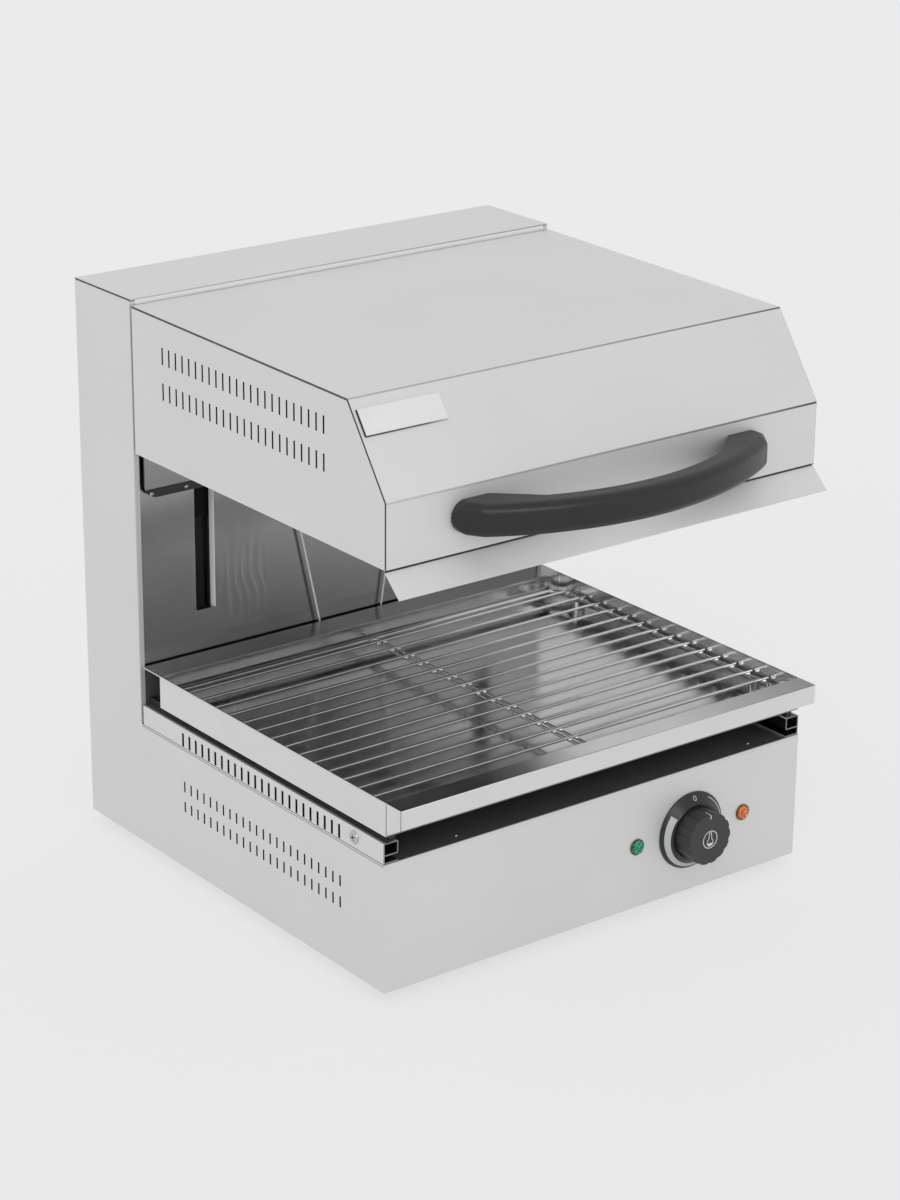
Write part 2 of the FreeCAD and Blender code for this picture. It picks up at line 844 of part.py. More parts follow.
def hood_deflector():
    """A lip that flares out under the hood front, on a leg behind the front face."""
    front = hood_front_y + sheet
    bend_z = hood_bottom_z - deflector_bend_drop
    tip_y = front - sheet - deflector_reach
    tip_z = bend_z - deflector_fall
    lean = sheet * math.sqrt(0.5)
    flare = prism_x([(front, bend_z), (tip_y, tip_z + lean), (tip_y + lean, tip_z),
                     (front + sheet, bend_z - sheet / 2), (front + sheet, bend_z + sheet / 2),
                     (front, bend_z + sheet / 2)], -half_width, half_width)
    leg_half = half_width - 2 * sheet
    leg = box(-leg_half, leg_half, front, front + sheet, bend_z, hood_bottom_z + deflector_leg)
    return joined(flare, leg)


def shield_edges():
    half = half_width - shield_inset
    return half, hood_bottom_z - shield_drop, hood_underside(shield_y)


def hood_rear_shield():
    half, low, high = shield_edges()
    plate = box(-half, half, shield_y, shield_y + shield_thickness, low, high)
    strip = box(-half, half, shield_y - shield_strip_thickness, shield_y + sheet / 2,
                low, low + shield_strip_height)
    shield = joined(plate, strip)
    corners = edges_at(shield, along_y, [Vector(-half, 0, low), Vector(half, 0, low)])
    shield = shield.makeFillet(shield_corner, corners)
    holes = []
    for x, z in arm_bolt_places():
        holes.append(rod(x, shield_y - sheet, z, along_y, 4 * sheet, arm_bolt_radius + screw_clearance))
    for x, z in shield_screw_places():
        holes.append(rod(x, shield_y - 2 * sheet, z, along_y, 5 * sheet,
                         shield_screw_radius + bore_clearance))
    return cut(shield, holes)


def shield_screw_places():
    half, low, high = shield_edges()
    x = half - shield_screw_inset
    z = low + shield_strip_height / 2
    return [(side * (x - i * shield_screw_spacing), z) for side in (-1, 1) for i in (0, 1)]


def shield_screws():
    return [pan_screw(x, shield_y - shield_strip_thickness, z, along_y * -1, shield_screw_head_radius,
                      sheet / 2, shield_screw_radius, shield_thickness + shield_strip_thickness)
            for x, z in shield_screw_places()]


def reflector_z():
    return hood_bottom_z + reflector_rise


def hood_reflector():
    """An upside-down pan over the elements, held by the hood sides and the shield."""
    inner = half_width - sheet
    front = hood_front_y + sheet + reflector_front_gap
    rear = shield_y
    top = reflector_z()
    low = hood_bottom_z + sheet
    whole = box(-inner, inner, front, rear, low, top + sheet)
    hollow = box(-inner + sheet, inner - sheet, front + sheet, rear - sheet, low - sheet, top)
    ledge = box(-inner + sheet, inner - sheet, hood_front_y + 2 * sheet, front + sheet, low, low + sheet)
    holes = [rod(x, y, top - sheet, along_z, 3 * sheet, element_radius + bush_clearance)
             for x, y in element_end_places()]
    return cut(joined(whole.cut(hollow), ledge), holes)


def element_rows():
    first = hood_front_y + element_front_gap
    last = hood_rear_y - element_rear_gap
    pitch = (last - first) / (element_count - 1)
    return [first + i * pitch for i in range(element_count)]


def element_end_places():
    x = half_width - element_right_gap
    return [(x, y + side * element_bend_radius) for y in element_rows() for side in (-1, 1)]


def heating_elements():
    """Hairpin tubes under the reflector whose ends turn up through it."""
    z = reflector_z() - element_below_reflector
    left = -half_width + element_left_gap + element_bend_radius
    right = half_width - element_right_gap
    r = element_bend_radius
    t = element_turn_up_radius
    m = t * math.sqrt(0.5)
    end_z = reflector_z() + element_end_rise
    tubes = []
    for y in element_rows():
        path = Part.Wire([
            Part.LineSegment(Vector(right, y - r, end_z), Vector(right, y - r, z + t)).toShape(),
            Part.Arc(Vector(right, y - r, z + t), Vector(right - t + m, y - r, z + t - m),
                     Vector(right - t, y - r, z)).toShape(),
            Part.LineSegment(Vector(right - t, y - r, z), Vector(left, y - r, z)).toShape(),
            Part.Arc(Vector(left, y - r, z), Vector(left - r, y, z), Vector(left, y + r, z)).toShape(),
            Part.LineSegment(Vector(left, y + r, z), Vector(right - t, y + r, z)).toShape(),
            Part.Arc(Vector(right - t, y + r, z), Vector(right - t + m, y + r, z + t - m),
                     Vector(right, y + r, z + t)).toShape(),
            Part.LineSegment(Vector(right, y + r, z + t), Vector(right, y + r, end_z)).toShape(),
        ])
        start = Vector(right, y - r, end_z)
        section = Part.Wire([Part.Circle(start, along_z, element_radius).toShape()])
        tube = path.makePipeShell([section], True, False)
        studs = [rod(right, y + side * r, end_z, along_z, element_stud_length, element_stud_radius)
                 for side in (-1, 1)]
        tubes.append(joined(tube, *studs))
    return tubes


def element_bushes():
    z = reflector_z() + sheet
    bushes = []
    for x, y in element_end_places():
        bush = rod(x, y, z, along_z, bush_height, bush_radius)
        bushes.append(bush.cut(rod(x, y, z, along_z, bush_height, element_radius + bush_clearance)))
    return bushes


def element_hangers():
    top = reflector_z()
    tube_z = top - element_below_reflector - element_radius
    rows = element_rows()
    front = rows[0] - element_bend_radius - hanger_reach
    rear = rows[-1] + element_bend_radius + hanger_reach
    hangers = []
    for side in (-1, 1):
        x0 = side * hanger_x - hanger_width / 2
        x1 = x0 + hanger_width
        whole = box(x0, x1, front, rear, tube_z - hanger_thickness, top)
        room = box(x0, x1, front + hanger_thickness, rear - hanger_thickness, tube_z, top)
        hangers.append(whole.cut(room))
    return hangers


# Handle and badge

def arc_through(x, y_end, y_middle, z):
    return Part.Arc(Vector(-x, y_end, z), Vector(0, y_middle, z), Vector(x, y_end, z)).toShape()


def handle_z():
    return hood_bottom_z + handle_drop


def handle_outline(z):
    """Plan of the bowed handle, closed along the hood front."""
    half = handle_length / 2
    front = hood_front_y - handle_reach
    end = hood_front_y - handle_end_reach
    inner = front + handle_thickness
    inner_end = hood_front_y - handle_inner_end_reach
    chamfer_x = half - handle_end_chamfer
    foot = handle_foot_inner_half
    base = hood_front_y
    short = base - handle_foot_depth

    def line(a, b):
        return Part.LineSegment(Vector(a[0], a[1], z), Vector(b[0], b[1], z)).toShape()

    return [
        arc_through(chamfer_x, end, front, z),
        line((chamfer_x, end), (half, short)), line((half, short), (half, base)),
        line((half, base), (foot, base)), line((foot, base), (handle_inner_half, inner_end)),
        arc_through(handle_inner_half, inner_end, inner, z),
        line((-handle_inner_half, inner_end), (-foot, base)), line((-foot, base), (-half, base)),
        line((-half, base), (-half, short)), line((-half, short), (-chamfer_x, end)),
    ]


def handle_end_trim():
    """A block with rounded ends seen from the front, which the bar is trimmed to."""
    half = handle_length / 2
    short = half - handle_end_bulge
    low = handle_z()
    middle = low + handle_height / 2
    high = low + handle_height
    y = hood_front_y
    sides = [
        Part.LineSegment(Vector(-short, y, low), Vector(short, y, low)),
        Part.Arc(Vector(short, y, low), Vector(half, y, middle), Vector(short, y, high)),
        Part.LineSegment(Vector(short, y, high), Vector(-short, y, high)),
        Part.Arc(Vector(-short, y, high), Vector(-half, y, middle), Vector(-short, y, low)),
    ]
    wire = Part.Wire([side.toShape() for side in sides])
    return Part.Face(wire).extrude(Vector(0, -handle_reach - sheet, 0))


def handle():
    low = handle_z()
    half = handle_length / 2
    wire = Part.Wire(Part.sortEdges(handle_outline(low))[0])
    solid = Part.Face(wire).extrude(Vector(0, 0, handle_height))
    corner_x = half - handle_end_chamfer
    corner_y = hood_front_y - handle_end_reach
    corners = [Vector(corner_x, corner_y, 0), Vector(-corner_x, corner_y, 0)]
    solid = solid.makeFillet(handle_corner, edges_at(solid, along_z, corners))
    round_edges = []
    for edge in solid.Edges:
        middle = edge.valueAt((edge.FirstParameter + edge.LastParameter) / 2)
        level = edge.BoundBox.ZLength < 1e-6
        bowed = edge.Length > handle_length / 2
        at_end = abs(middle.x) > corner_x - handle_corner and middle.y < hood_front_y - 2 * handle_foot_depth
        if level and (bowed or at_end):
            round_edges.append(edge)
    solid = solid.makeFillet(handle_round, round_edges)
    solid = solid.common(handle_end_trim())
    holes = [rod(side * handle_screw_x, hood_front_y, low + handle_height / 2, along_y * -1,
                 handle_screw_depth, handle_screw_radius) for side in (-1, 1)]
    return cut(solid, holes)


def handle_screws():
    z = handle_z() + handle_height / 2
    return [pan_screw(side * handle_screw_x, hood_front_y + sheet, z, along_y, handle_screw_head_radius,
                      handle_screw_head_height, handle_screw_radius, handle_screw_depth + sheet)
            for side in (-1, 1)]


def badge_plate():
    """A bare plate with a bevelled border on the slanted face."""
    bend_z = hood_top_z - hood_top_fall
    angle = math.degrees(math.atan2(bend_z - slant_z, hood_slant_run))
    left = -half_width + badge_side_gap
    plate = box(left, left + badge_width, -badge_top_gap - badge_height, -badge_top_gap, 0, badge_thickness)
    upper = [e for e in plate.Edges if e.CenterOfMass.z > badge_thickness - 1e-6]
    plate = plate.makeChamfer(badge_bevel, upper)
    plate.rotate(Vector(0, 0, 0), along_x, angle)
    plate.translate(Vector(0, hood_front_y + hood_slant_run, bend_z))
    return plate


# Lift

def arm_x():
    return slot_centre_x - arm_thickness / 2


def arm_bolt_places():
    x = arm_x() + arm_thickness + (arm_tab_width - arm_thickness) / 2
    high = arm_top_z - arm_bolt_gap
    return [(side * x, high - i * arm_bolt_spacing) for side in (-1, 1) for i in (0, 1)]


def ear_bolt_places():
    z = (arm_bottom_z + carriage_top_z) / 2
    y = carriage_y + carriage_thickness + ear_bolt_setback
    return [(y, z + side * ear_bolt_spacing / 2) for side in (-1, 1)]


def lift_arm():
    """A plate that goes through the slot, bolted to the shield in front and the carriage behind."""
    x0 = arm_x()
    x1 = x0 + arm_thickness
    front = shield_y + shield_thickness
    rear = carriage_y + carriage_thickness + carriage_ear_length
    web = box(x0, x1, front, rear, arm_bottom_z, arm_top_z)
    web = web.cut(box(x0 - sheet, x1 + sheet, carriage_y - 2 * sheet, rear + sheet,
                      carriage_top_z + sheet, arm_top_z + sheet))
    tab = box(x0, x0 + arm_tab_width, front, front + arm_tab_thickness,
              arm_top_z - 2 * arm_bolt_gap - arm_bolt_spacing, arm_top_z)
    holes = [rod(x, front - sheet, z, along_y, arm_tab_thickness + 2 * sheet,
                 arm_bolt_radius + screw_clearance) for x, z in arm_bolt_places() if x > 0]
    for y, z in ear_bolt_places():
        holes.append(rod(x0 - sheet, y, z, along_x, arm_thickness + 2 * sheet,
                         arm_bolt_radius + screw_clearance))
    return cut(joined(web, tab), holes)


def arm_bolts():
    """Bolts through the shield and the arm tabs, and through the arms and the carriage ears."""
    bolts = []
    for x, z in arm_bolt_places():
        bolts.append(pan_screw(x, shield_y, z, along_y * -1, arm_bolt_head_radius, arm_bolt_head_height,
                               arm_bolt_radius, shield_thickness + arm_tab_thickness))
    x = arm_x()
    for y, z in ear_bolt_places():
        bolt = pan_screw(x, y, z, along_x * -1, arm_bolt_head_radius, arm_bolt_head_height,
                         arm_bolt_radius, arm_thickness + carriage_thickness)
        bolts += pair(bolt)
    return bolts


def roller_levels():
    return [carriage_z + roller_end_offset, carriage_top_z - roller_end_offset]


def roller_x():
    return half_width - sheet - channel_wall - (channel_width - channel_wall) / 2


def carriage():
    """A bent plate in the column that carries the arms, the rollers and the cable ends."""
    y0 = carriage_y
    y1 = y0 + carriage_thickness
    end = carriage_end_x
    web = box(-end, end, y0, y1, carriage_z, carriage_top_z)
    slot_half = slot_width / 2
    inner = arm_x() - slot_half / 2
    outer = arm_x() + arm_thickness
    way = box(inner, outer, y0 - sheet, y1 + sheet, arm_bottom_z - sheet, carriage_top_z + sheet)
    web = web.cut(pair(way))
    end_plate = box(end - carriage_thickness, end, y0, roller_y + channel_wall + roller_radius - sheet,
                    carriage_z, carriage_top_z)
    ear = box(outer, outer + carriage_thickness, y0, y1 + carriage_ear_length, arm_bottom_z, carriage_top_z)
    lug = box(pulley_x - lug_width / 2, pulley_x + lug_width / 2, y0, y1 + lug_length,
              carriage_top_z - lug_drop - lug_height, carriage_top_z - lug_drop)
    body = joined(web, *pair(end_plate), *pair(ear), *pair(lug))
    holes = []
    for z in roller_levels():
        holes += pair(rod(end - 2 * carriage_thickness, roller_y, z, along_x, 3 * carriage_thickness,
                          axle_radius + bore_clearance))
    for y, z in ear_bolt_places():
        holes += pair(rod(outer - sheet, y, z, along_x, carriage_thickness + 2 * sheet,
                          arm_bolt_radius + screw_clearance))
    return cut(body, holes)


def roller_axles():
    axles = []
    x0 = carriage_end_x - carriage_thickness
    length = half_width - sheet - channel_wall - sheet - x0
    for z in roller_levels():
        pin = rod(x0, roller_y, z, along_x, length, axle_radius)
        head = rod(x0 - axle_head_height, roller_y, z, along_x, axle_head_height, axle_head_radius)
        axles += pair(joined(pin, head))
    return axles


def guide_roller(z):
    x0 = roller_x() - roller_width / 2
    roller = rod(x0, roller_y, z, along_x, roller_width, roller_radius)
    rims = [e for e in roller.Edges if e.Curve.TypeId == "Part::GeomCircle"]
    roller = roller.makeFillet(edge_round, rims)
    return roller.cut(rod(x0, roller_y, z, along_x, roller_width, axle_radius + bore_clearance))


def guide_channel():
    """An upright channel with its open side towards the middle, in which the rollers run."""
    outer = half_width - sheet
    inner = outer - channel_width
    half = roller_radius + roller_gap
    wall = channel_wall
    outline = [
        (outer, roller_y - half - wall), (outer, roller_y + half + wall), (inner, roller_y + half + wall),
        (inner, roller_y + half), (outer - wall, roller_y + half), (outer - wall, roller_y - half),
        (inner, roller_y - half), (inner, roller_y - half - wall),
    ]
    return prism_z(outline, floor_z + sheet, beam_z)


def pulley_beam():
    """The plate across the top of the column from which the pulleys hang."""
    outer = half_width - sheet
    y0 = column_y + beam_setback
    y1 = cover_y - sheet - beam_rear_gap
    plate = box(-outer, outer, y0, y1, beam_z, beam_z + beam_thickness)
    tab_front = roller_y + roller_radius + roller_gap + channel_wall + sheet
    tab = box(outer - beam_thickness, outer, tab_front, y1, beam_z - beam_tab_height, beam_z + beam_thickness)
    return joined(plate, *pair(tab))


def pulley_bracket():
    half = pulley_width / 2 + pulley_side_gap
    x0 = pulley_x - half - bracket_thickness
    x1 = pulley_x + half + bracket_thickness
    y0 = pulley_y - bracket_length / 2
    low = pulley_z - bracket_below_axle
    whole = box(x0, x1, y0, y0 + bracket_length, low, beam_z)
    room = box(pulley_x - half, pulley_x + half, y0, y0 + bracket_length, low, beam_z - bracket_thickness)
    bore = rod(x0, pulley_y, pulley_z, along_x, x1 - x0, axle_radius + bore_clearance)
    return whole.cut([room, bore])


def pulley_axle():
    half = pulley_width / 2 + pulley_side_gap + bracket_thickness
    pin = rod(pulley_x - half, pulley_y, pulley_z, along_x, 2 * half + sheet, axle_radius)
    head = rod(pulley_x - half - axle_head_height, pulley_y, pulley_z, along_x, axle_head_height,
               axle_head_radius)
    return joined(pin, head)


def pulley():
    """A grooved wheel for the lifting cable."""
    half = pulley_width / 2
    root = cable_run_radius - cable_radius - cable_gap
    root_half = cable_radius + cable_gap
    bore = axle_radius + bore_clearance
    profile = [
        (-half, bore), (half, bore), (half, pulley_radius), (groove_top_half, pulley_radius),
        (root_half, root), (-root_half, root), (-groove_top_half, pulley_radius), (-half, pulley_radius),
    ]
    corners = [Vector(pulley_x + x, pulley_y, pulley_z + r) for x, r in profile]
    face = Part.Face(Part.makePolygon(corners + corners[:1]))
    return face.revolve(Vector(pulley_x, pulley_y, pulley_z), along_x, 360)


def cable_wrap():
    """The half turn of cable that lies over the pulley."""
    r = cable_run_radius
    path = Part.Wire([Part.Arc(
        Vector(pulley_x, pulley_y - r, pulley_z), Vector(pulley_x, pulley_y, pulley_z + r),
        Vector(pulley_x, pulley_y + r, pulley_z)).toShape()])
    section = Part.Wire([Part.Circle(Vector(pulley_x, pulley_y - r, pulley_z), along_z,
                                     cable_radius).toShape()])
    return path.makePipeShell([section], True, False)


def hood_cable():
    z = carriage_top_z - lug_drop
    return rod(pulley_x, pulley_y - cable_run_radius, z, along_z, pulley_z - z, cable_radius)


def weight_cable():
    z = weight_z + weight_height
    return rod(pulley_x, weight_y, z, along_z, pulley_z - z, cable_radius)


def counterweight():
    half = weight_width / 2
    block = box(-half, half, weight_y - weight_thickness / 2, weight_y + weight_thickness / 2,
                weight_z, weight_z + weight_height)
    upright = [e for e in block.Edges if abs(e.tangentAt(e.FirstParameter).z) > 0.9]
    return block.makeChamfer(weight_chamfer, upright)


def weight_buffers():
    return pair(rod(buffer_x, weight_y, floor_z + sheet, along_z, buffer_height, buffer_radius))


# Controls

def dial_bezel():
    """A cup with a sloped rim round the knob."""
    outer = [
        (0, 0), (bezel_radius, 0), (bezel_radius, -bezel_rim),
        (bezel_top_radius, -bezel_height), (0, -bezel_height),
    ]
    corners = [Vector(dial_x + r, y, dial_z) for r, y in outer]
    face = Part.Face(Part.makePolygon(corners + corners[:1]))
    cup = face.revolve(Vector(dial_x, 0, dial_z), along_y, 360)
    room = rod(dial_x, -bezel_floor, dial_z, along_y * -1, bezel_height, knob_radius + knob_gap)
    holes = [room, rod(dial_x, sheet, dial_z, along_y * -1, 3 * bezel_floor,
                       bushing_radius + bushing_clearance)]
    for side in (-1, 1):
        holes.append(rod(dial_x + side * thermostat_screw_spacing / 2, sheet, dial_z, along_y * -1,
                         3 * bezel_floor, thermostat_screw_radius + screw_clearance))
    return cut(cup, holes)


def knob_back_y():
    return -bezel_floor - knob_back_gap


def knob():
    back = knob_back_y()
    front = back - knob_length
    body = rod(dial_x, back, dial_z, along_y * -1, knob_length, knob_radius)
    flutes = []
    for i in range(knob_flutes):
        a = math.radians(360 * (i + 0.5) / knob_flutes)
        reach = knob_radius + flute_radius - flute_depth
        flutes.append(rod(dial_x + reach * math.cos(a), back - knob_skirt, dial_z + reach * math.sin(a),
                          along_y * -1, knob_length, flute_radius))
    body = body.cut(flutes)
    face_edges = [e for e in body.Edges if abs(e.BoundBox.YMin - front) < 1e-4
                  and abs(e.BoundBox.YMax - front) < 1e-4]
    body = body.makeFillet(knob_edge, face_edges)
    room = rod(dial_x, back, dial_z, along_y * -1, knob_length - knob_face,
               knob_radius - knob_wall - flute_depth)
    hub = rod(dial_x, back, dial_z, along_y * -1, knob_length, knob_hub_radius)
    body = body.cut(room.cut(hub))
    return body.cut(knob_shaft_solid())


def knob_shaft_solid():
    """The thermostat's shaft, with a flat where the knob grips it."""
    inner = thermostat_back_y() - thermostat_depth + shaft_in_body
    tip = knob_back_y() - shaft_in_knob
    shaft = rod(dial_x, inner, dial_z, along_y * -1, inner - tip, shaft_radius)
    flat = box(dial_x - shaft_radius, dial_x + shaft_radius, tip - sheet, knob_back_y(),
               dial_z - shaft_radius - sheet, dial_z - shaft_radius + shaft_flat)
    return shaft.cut(flat)


def thermostat_back_y():
    return sheet + thermostat_plate + thermostat_depth


def thermostat():
    half = thermostat_size / 2
    front = sheet + thermostat_plate
    body = box(dial_x - half, dial_x + half, front, thermostat_back_y(), dial_z - half, dial_z + half)
    plate = box(dial_x - half, dial_x + half, sheet, front, dial_z - half / 2, dial_z + half / 2)
    bushing = rod(dial_x, front, dial_z, along_y * -1, front + bezel_floor, bushing_radius)
    whole = joined(body, plate, bushing)
    bore = rod(dial_x, -2 * bezel_floor, dial_z, along_y, shaft_in_body + front + 2 * bezel_floor,
               shaft_radius + bore_clearance)
    holes = [bore]
    for side in (-1, 1):
        holes.append(rod(dial_x + side * thermostat_screw_spacing / 2, 0, dial_z, along_y,
                         screw_length + front, thermostat_screw_radius + bore_clearance))
    return cut(whole, holes)


def thermostat_screws():
    return [pan_screw(dial_x + side * thermostat_screw_spacing / 2, -bezel_floor, dial_z, along_y * -1,
                      thermostat_screw_head_radius, thermostat_screw_head_height, thermostat_screw_radius,
                      screw_length + bezel_floor) for side in (-1, 1)]


def lamp_x(side):
    return dial_x + side * lamp_offset


def lamp_bodies():
    bodies = []
    for side in (-1, 1):
        x = lamp_x(side)
        ring = rod(x, 0, dial_z, along_y * -1, lamp_ring_height, lamp_ring_radius)
        tube = rod(x, 0, dial_z, along_y, lamp_tube_length, lamp_tube_radius)
        seat = rod(x, -lamp_ring_height / 2, dial_z, along_y * -1, lamp_ring_height, lamp_lens_radius)
        bodies.append(joined(ring, tube).cut(seat))
    return bodies


def lamp_lens(side):
    """A low dome seated in the ring."""
    x = lamp_x(side)
    lens = rod(x, -lamp_ring_height / 2, dial_z, along_y * -1, lamp_lens_height, lamp_lens_radius)
    rim = [e for e in lens.Edges if e.CenterOfMass.y < -lamp_lens_height]
    return lens.makeFillet(lamp_lens_round, rim)


# Supply

def cable_gland():
    y = body_depth
    collar = hex_nut(-gland_x, y, gland_z, along_y, gland_collar_radius, gland_collar_length,
                     gland_bore_radius)
    dome = rod(-gland_x, y + gland_collar_length, gland_z, along_y, gland_dome_length,
               gland_collar_radius - sheet)
    thread = rod(-gland_x, cover_y - gland_inner_length, gland_z, along_y, gland_inner_length + sheet,
                 gland_thread_radius)
    bore = rod(-gland_x, cover_y - gland_inner_length, gland_z, along_y,
               gland_inner_length + sheet + gland_collar_length + gland_dome_length, gland_bore_radius)
    rim = [e for e in dome.Edges if e.CenterOfMass.y > y + gland_collar_length + gland_dome_length / 2
           and e.Curve.TypeId == "Part::GeomCircle"]
    dome = dome.makeFillet(gland_dome_round, rim)
    return joined(collar, dome, thread).cut(bore)


def gland_nut():
    return hex_nut(-gland_x, cover_y - gland_nut_height, gland_z, along_y, gland_nut_radius,
                   gland_nut_height, gland_thread_radius + bore_clearance)


def bonding_stud():
    stud = rod(gland_x, cover_y - stud_inner_length, gland_z, along_y,
               stud_inner_length + sheet + stud_outer_length, stud_radius)
    collar = hex_nut(gland_x, body_depth, gland_z, along_y, stud_nut_radius, stud_nut_height, stud_radius)
    return joined(stud, collar)


def bonding_nut():
    return hex_nut(gland_x, cover_y - stud_nut_height, gland_z, along_y, stud_nut_radius, stud_nut_height,
                   stud_radius + bore_clearance)


def terminal_place():
    x0 = -gland_x - terminal_width / 2
    return x0, body_depth - terminal_from_back, floor_z + sheet


def terminal_block():
    x0, y0, z0 = terminal_place()
    block = box(x0, x0 + terminal_width, y0, y0 + terminal_depth, z0, z0 + terminal_height)
    holes = []
    for i in range(terminal_ways):
        x = x0 + terminal_width * (i + 0.5) / terminal_ways
        holes.append(rod(x, y0, z0 + terminal_height / 2, along_y, terminal_depth, terminal_entry_radius))
        holes.append(rod(x, y0 + terminal_depth / 2, z0 + terminal_height / 2, along_z, terminal_height,
                         terminal_entry_radius - sheet))
    return cut(block, holes)


os.makedirs("parts", exist_ok=True)

save("side_panel_left", side_panel())
save("side_panel_right", mirrored(side_panel()))
save("front_panel", front_panel())
save("base_deck", base_deck())
save("bottom_plate", bottom_plate())
save("rubber_feet", *rubber_feet())
save("foot_fasteners", *foot_screws(), *foot_nuts())
save("column_top_cover", column_top_cover())
save("column_rear_cover", column_rear_cover())
save("panel_screws", *cover_screws(), *deck_screws())
save("back_panel", back_panel())
save("rail_left", rail())
save("rail_right", mirrored(rail()))
save("rail_screws", *rail_screws())
save("tray_runners", *tray_runners())

save("tray_pan", tray_pan())
save("rack_frame", rack_frame())
save("rack_wires", rack_middle(), *rack_wires())

save("hood_shell", hood_shell())
save("hood_side_left", hood_side())
save("hood_side_right", mirrored(hood_side()))
save("hood_deflector", hood_deflector())
save("hood_rear_shield", hood_rear_shield())
save("shield_screws", *shield_screws())
save("hood_reflector", hood_reflector())
save("heating_elements", *heating_elements())
save("element_bushes", *element_bushes())
save("element_hangers", *element_hangers())
save("handle", handle())
save("handle_screws", *handle_screws())
save("badge_plate", badge_plate())

save("lift_arms", *pair(lift_arm()))
save("arm_bolts", *arm_bolts())
save("carriage", carriage())
save("roller_axles", *roller_axles())
for level_name, level_z in zip(("lower", "upper"), roller_levels()):
    save("guide_roller_right_" + level_name, guide_roller(level_z))
    save("guide_roller_left_" + level_name, mirrored(guide_roller(level_z)))
save("guide_channels", *pair(guide_channel()))
save("pulley_beam", joined(pulley_beam(), *pair(pulley_bracket())))
save("pulley_axles", *pair(pulley_axle()))
save("pulley_right", pulley())
save("pulley_left", mirrored(pulley()))
save("cable_wraps", *pair(cable_wrap()))
save("hood_cables", *pair(hood_cable()))
save("weight_cables", *pair(weight_cable()))
save("counterweight", counterweight())
save("weight_buffers", *weight_buffers())

save("dial_bezel", dial_bezel())
save("knob", knob())
save("thermostat_shaft", knob_shaft_solid())
save("thermostat", thermostat())
save("thermostat_screws", *thermostat_screws())
save("lamp_bodies", *lamp_bodies())
save("pilot_lamp_green", lamp_lens(-1))
save("pilot_lamp_orange", lamp_lens(1))
save("cable_gland", cable_gland(), gland_nut())
save("bonding_stud", bonding_stud(), bonding_nut())
save("terminal_block", terminal_block())
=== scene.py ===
import math
import bpy
import bmesh
from mathutils import Matrix, Vector


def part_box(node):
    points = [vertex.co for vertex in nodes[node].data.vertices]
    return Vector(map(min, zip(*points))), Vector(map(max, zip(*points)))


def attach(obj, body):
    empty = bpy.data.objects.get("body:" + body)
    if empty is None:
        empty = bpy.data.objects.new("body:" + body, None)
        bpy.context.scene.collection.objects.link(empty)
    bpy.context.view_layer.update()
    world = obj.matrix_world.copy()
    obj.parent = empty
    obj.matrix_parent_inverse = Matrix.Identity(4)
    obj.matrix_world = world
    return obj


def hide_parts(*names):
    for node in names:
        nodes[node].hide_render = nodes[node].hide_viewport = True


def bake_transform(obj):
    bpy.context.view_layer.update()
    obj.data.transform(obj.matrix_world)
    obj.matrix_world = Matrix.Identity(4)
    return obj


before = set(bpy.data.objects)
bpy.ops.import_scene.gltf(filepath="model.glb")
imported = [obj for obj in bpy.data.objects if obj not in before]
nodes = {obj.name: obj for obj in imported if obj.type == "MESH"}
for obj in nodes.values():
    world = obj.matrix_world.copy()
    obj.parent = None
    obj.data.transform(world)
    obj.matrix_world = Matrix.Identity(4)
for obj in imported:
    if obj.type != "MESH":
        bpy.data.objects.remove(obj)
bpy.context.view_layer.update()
mm = 0.001
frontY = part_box("front_panel")[0].y   # front face of the base; depths below are counted from it
print("frame loaded:", len(nodes), "nodes")


# materials

def hexColour(code):
    parts = [int(code[i:i + 2], 16) / 255 for i in (1, 3, 5)]
    return tuple(p / 12.92 if p < 0.04045 else ((p + 0.055) / 1.055) ** 2.4 for p in parts) + (1,)


def addNode(tree, kind, sockets=None, stops=(), **settings):
    # sockets are links or constants by name or number, stops are the colours along a colour ramp
    node = tree.nodes.new("ShaderNode" + kind)
    for name, value in settings.items():
        setattr(node, name, value)
    for name, value in (sockets or {}).items():
        if isinstance(value, bpy.types.NodeSocket):
            tree.links.new(value, node.inputs[name])
        else:
            node.inputs[name].default_value = value
    while stops and len(node.color_ramp.elements) < len(stops):
        node.color_ramp.elements.new(0.5)
    for number, (at, code) in enumerate(stops):
        node.color_ramp.elements[number].position = at
        node.color_ramp.elements[number].color = hexColour(code)
    return node


def newMaterial(name):
    material = bpy.data.materials.new(name)
    material.use_nodes = True
    tree = material.node_tree
    tree.nodes.clear()
    out = addNode(tree, "OutputMaterial")
    shader = addNode(tree, "BsdfPrincipled")
    tree.links.new(shader.outputs[0], out.inputs[0])
    place = addNode(tree, "TexCoord").outputs["Object"]
    return material, tree, shader, place


